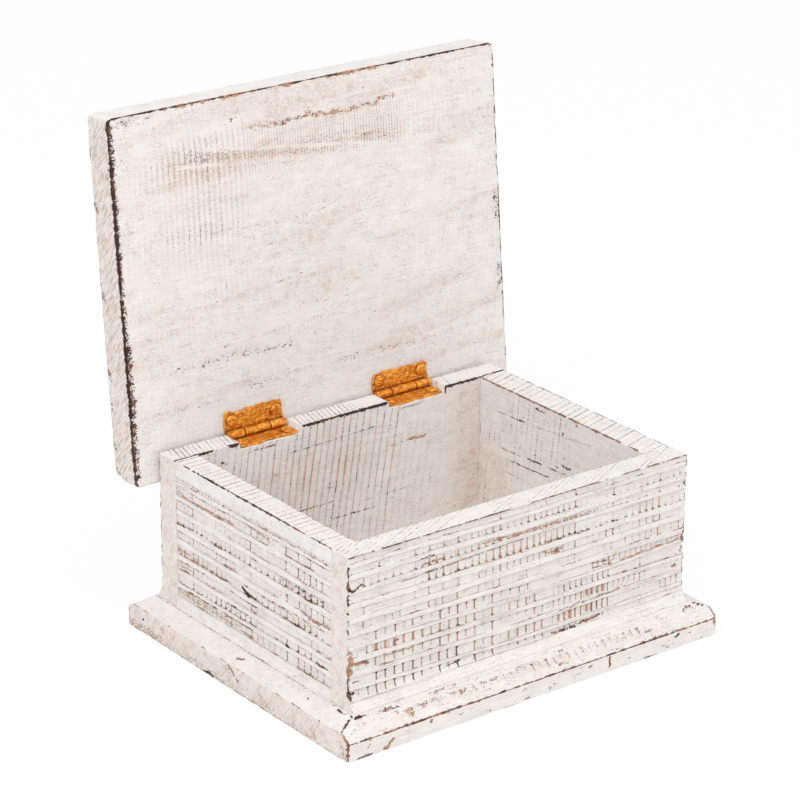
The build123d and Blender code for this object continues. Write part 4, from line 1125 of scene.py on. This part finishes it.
def whitewash(name, stretch):
    """Thin chalky paint on rough-sawn wood. Paint is lost where wear, torn along the grain by noise,
    passes a limit, and in narrow strokes at each whole saw phase whose strength passes one. Board
    ends, where the paint is thinnest, are mottled and hatched. Painted shade greys the bands between
    the ridges, and fine lines follow the ridges: painted shade where the bands meet them, and hairlines."""
    f = Finish(name)
    wear, dark, thin, soft, foot = (f.layer(key) for key in ("wear", "dark", "thin", "soft", "foot"))
    phase, strength, across = f.parts("saw")
    long = tuple(0.4 * share if share < 1 else share for share in stretch)
    half_long = tuple(4 * share if share < 1 else share for share in stretch)
    ragged = f.noise(1.2, 4, 0.65).between(0.3, 0.7)
    coarse = f.noise(0.16, 3).between(0.3, 0.7)
    fibre = f.noise(2.4, 3, 0.6, stretch).between(0.3, 0.7)
    streak = f.noise(1.1, 4, 0.6, long).between(0.3, 0.7)
    torn = 0.6 * ragged + 0.4 * fibre - 0.5
    chip = (wear + torn * 0.95).between(0.46, 0.56)
    flat = across.between(2.5, 3.5)

    def lot_of(number):
        """A random number from 0 to 1 for each whole number."""
        return Value(f, f.node("ShaderNodeTexWhiteNoise", {"noise_dimensions": "1D"}, W=number).outputs[0])

    tip = (across.between(0.4, 0.95) * (1 - flat)).most(flat * foot.between(0.2, 1.0))
    inside = across.between(0.99, 0.88).most(flat)

    def strokes(phases, width):
        """Strokes at each whole phase, each of its own width, with serifs where the foot widens."""
        number = phases.math("ROUND", phases)
        lot = lot_of(number)
        serif = tip * (0.4 + foot * 0.9 + (lot - 0.5) * 0.5).between(0.0, 1.0)
        half = width * (0.6 + 0.8 * lot) + 0.15 * strength.between(0.85, 1.25) + 0.17 * serif
        off = abs(phases - number) - half - (ragged - 0.5) * 0.06
        reach = (foot + 0.2 + 0.8 * lot).between(-0.06, 0.1)
        return off.between(0.045, -0.02) * inside * reach, lot, serif

    stroke, lot, serif = strokes(phase, 0.045)
    broken = (ragged - 0.5) * 0.6 + (fibre - 0.5) * (0.25 + 1.35 * flat) + (serif - 0.35) * 0.3
    shown = (strength + (lot - 0.5) * 0.6 + broken).between(0.42, 0.56) * strength.between(0.02, 0.2)
    between, other, _ = strokes(phase * 2.31, 0.08)
    little = (strength + (other - 0.5) * 0.6 + (fibre - 0.5) * 0.6 - 0.75).between(0.42, 0.6)
    bare = chip.most(stroke * shown).most(between * little * 0.7)
    faint = (stroke * strength.between(0.08, 0.55) * 0.8).most(between * strength.between(0.3, 0.9) * 0.12)
    speck = (f.noise(2.0, 2) + thin * 0.035).between(0.715, 0.76)
    bare = bare.most(speck * 0.75)
    furrow = 0.5 + 0.5 * (phase * (2 * math.pi)).math("COSINE", phase * (2 * math.pi))
    furrow = soft * furrow * (0.3 + 0.7 * fibre)
    pepper = f.noise(1.9, 3, 0.6, half_long).between(0.53, 0.66) * f.noise(0.11, 2).between(0.3, 0.62)

    vein = abs(f.noise(0.5, 2, 0.5, long) - 0.5).between(0.014, 0.002)
    vein = vein * f.noise(0.09, 2).between(0.48, 0.62) * (0.3 + 0.7 * fibre)
    # painted shade: broken lines where each band meets its ridges
    painted_crease_shade = abs(across - 1.0).between(0.14, 0.03) * f.noise(0.7, 3, 0.6, long).between(0.36, 0.54)
    hair = abs(across - 1.34).between(0.07, 0.02) * f.noise(0.5, 2, 0.6, long).between(0.5, 0.58)
    lines = painted_crease_shade.most(hair * 0.9) * (0.55 + 0.45 * fibre)
    end = thin.between(0.55, 0.72)
    mottle = f.noise(0.2, 4, 0.62).between(0.5, 0.68)
    hatch = f.noise(1.3, 3, 0.6, (1, 0.1, 1), 0.9).between(0.48, 0.62)

    depth = dark + (coarse - 0.5) * 0.35 + (ragged - 0.5) * 0.35 + (lot - 0.5) * 0.2 + serif * 0.25
    wood = f.coats(
        (204, 154, 122),
        (depth.between(0.0, 0.55), (142, 96, 74)),
        (depth.between(0.45, 0.98), (58, 30, 17)),
        (fibre * depth.between(0.8, 0.3) * 0.3, (214, 176, 146)),
    )
    paint = f.coats(
        (246, 243, 240),
        (coarse, (240, 236, 233)),
        (streak * 0.28, (214, 205, 200)),
        # painted shade: the paint is greyer on the bands' floors, sunk between the ridges
        (across.between(1.1, 0.9) * 0.08, (212, 202, 197)),
        (thin * (0.35 + 0.65 * fibre) * 0.5, (236, 219, 205)),
        (end * mottle * 0.42, (216, 176, 150)),
        (end * hatch * (0.25 + 0.35 * foot), (182, 148, 126)),
        (furrow * 0.85, f.mix(dark.between(0.1, 0.6), (208, 166, 144), (176, 166, 162))),
        (strength.between(0.3, 1.2) * (0.06 + 0.2 * flat) + faint * 0.5, (198, 180, 172)),
        (pepper * 0.5, (146, 130, 122)),
        (vein * 0.6, (150, 138, 132)),
        # painted shade lines where the bands meet the ridges, with fine hairlines on the ridges
        (lines * 0.64, (150, 120, 102)),
    )

    height = (1 - bare) * 0.08 + streak * 0.06 + fibre * 0.025 + ragged * 0.02 - faint * 0.05 - vein * 0.04
    height = height - lines * 0.06 - end * mottle * 0.04
    return f.shade(f.mix(bare, paint, wood), 0.72 + 0.14 * bare, height)


def gilt():
    """Orange-gold paint brushed thickly over brass, greyish where thin, with brown painted shade in its
    corners and painted highlights and shade in streaks along the brush.
    """
    f = Finish("gilded_brass")
    thin, painted_crease_shade = f.layer("thin"), f.layer("dark")
    lumps = f.noise(0.5, 3, 0.5).between(0.3, 0.7)
    brush_and_painted_light = f.noise(1.3, 3, 0.5, (0.25, 1, 1)).between(0.3, 0.7)
    colour = f.coats(
        (250, 172, 56),
        (lumps, (208, 108, 14)),
        # painted highlights, pale yellow, and painted shade, dark brown, in streaks along the brush
        (brush_and_painted_light.between(0.5, 1.0) * 0.5, (255, 204, 112)),
        (brush_and_painted_light.between(0.4, 0.0) * 0.5, (176, 96, 22)),
        (thin * f.noise(0.9, 3).between(0.6, 0.7) * 0.6, (176, 156, 122)),
        # painted shade, dark brown, in the leaves' corners, the joints and round the screw heads
        (painted_crease_shade * 0.8, (112, 56, 12)),
    )
    return f.shade(colour, 0.18 + 0.16 * lumps, lumps * 0.36 + brush_and_painted_light * 0.05, 0.6)


def plain_steel():
    """Drawn steel, faintly streaked."""
    f = Finish("steel")
    streak = f.noise(3.0, 3, 0.6, (1, 1, 0.2))
    colour = f.mix(streak, (150, 150, 152), (196, 196, 198))
    return f.shade(colour, 0.35 + 0.15 * streak, streak * 0.02, 1.0)


# ---- the box ----
GRAIN = 0.12  # how much finer the wood's pattern is across the grain than along it
along_x = whitewash("whitewashed_wood_along_x", (GRAIN, 1, 1))
along_y = whitewash("whitewashed_wood_along_y", (1, GRAIN, 1))
gold, steel = gilt(), plain_steel()

for board, name, node, body, wood, angle in (
    (front_wall(), "front_wall_wood", "front_wall", "box", along_x, 0.0),
    (back_wall(), "back_wall_wood", "back_wall", "box", along_x, 0.0),
    (left_wall(), "left_wall_wood", "left_wall", "box", along_y, 0.0),
    (right_wall(), "right_wall_wood", "right_wall", "box", along_y, 0.0),
    (base(), "base_wood", "base_board", "box", along_x, 0.0),
    (lid(), "lid_wood", "lid_board", "lid", along_x, -OPEN),
):
    board.make(name, node, body, wood, angle)
for side_name in ("left", "right"):
    hinge(side_name, gold)
for node, part in frame["nodes"].items():
    if "screws" in node or "brads" in node or "pin" in node:
        part.data.materials.clear()
        part.data.materials.append(gold if "hinge" in node else steel)

# ---- camera, light and floor ----
CAMERA_PLACE = (-0.8690, -1.1091, 0.6803)
CAMERA_RIGHT, CAMERA_UP = (0.79394, -0.60795, 0.00762), (0.21953, 0.29833, 0.92888)
CAMERA_BACK = (-0.56698, -0.73580, 0.37032)
camera = bpy.data.objects.new("camera", bpy.data.cameras.new("camera"))
camera.data.lens, camera.data.sensor_width = 145.30, 36.0
facing = Matrix((CAMERA_RIGHT, CAMERA_UP, CAMERA_BACK)).transposed().to_4x4()
camera.matrix_world = Matrix.Translation(CAMERA_PLACE) @ facing
bpy.context.scene.collection.objects.link(camera)
bpy.context.scene.camera = camera

LAMP_AIM = (0, 0, 0.08)  # the middle of the box


def lamp(name, place, aim, size, power):
    """A soft square lamp at a place, facing a point."""
    light = bpy.data.lights.new(name, "AREA")
    light.size, light.energy = size, power
    stand = bpy.data.objects.new(name, light)
    stand.location = place
    stand.rotation_euler = (Vector(aim) - Vector(place)).to_track_quat("-Z", "Y").to_euler()
    bpy.context.scene.collection.objects.link(stand)


for name, place, size, power in (
    ("key", (-1.5, -0.85, 1.35), 0.9, 9.9),
    ("fill", (0.5, -1.5, 1.0), 1.2, 2.5),
    ("top", (-0.2, -0.45, 1.8), 0.8, 5.9),
):
    lamp(name, place, LAMP_AIM, size, power)


def whitened(owner, output, surface, white, share):
    """Closes a world or a material with a surface that lights the box or takes its shadow, and mixes
    in a share of plain white for the camera, for reflections and through glass."""
    tree = Tree(owner)
    rays = tree.node("ShaderNodeLightPath", {}).outputs
    seen, *others = (Value(tree, rays[f"Is {kind} Ray"]) for kind in ("Camera", "Glossy", "Transmission"))
    for other in others:
        seen = seen.most(other)
    shaders = (tree.node(*shader).outputs[0] for shader in (surface, white))
    tree.node(output, {}, tree.node("ShaderNodeMixShader", {}, seen * share, *shaders).outputs[0])


WHITE, FLOOR_GREY = (1, 1, 1, 1), (0.9, 0.9, 0.9, 1)
SKY, FLOOR_WHITE = 0.75, 0.93  # strength of the world's light, and share of plain white in the floor
FLOOR_DROP = 0.0001  # metres by which the floor lies clear of the box's underside
bpy.context.scene.world = bpy.data.worlds.new("studio")
whitened(bpy.context.scene.world, "ShaderNodeOutputWorld", ("ShaderNodeBackground", {}, WHITE, SKY),
         ("ShaderNodeBackground", {}, WHITE, 1.0), 1.0)
bpy.ops.mesh.primitive_plane_add(size=8, location=(0, 0, -FLOOR_DROP))
floor = bpy.context.object
floor.name = "floor"
floor.data.materials.append(bpy.data.materials.new("pale_floor"))
whitened(floor.data.materials[0], "ShaderNodeOutputMaterial", ("ShaderNodeBsdfDiffuse", {}, FLOOR_GREY),
         ("ShaderNodeEmission", {}, WHITE), FLOOR_WHITE)

bpy.context.scene.view_settings.view_transform = "Standard"
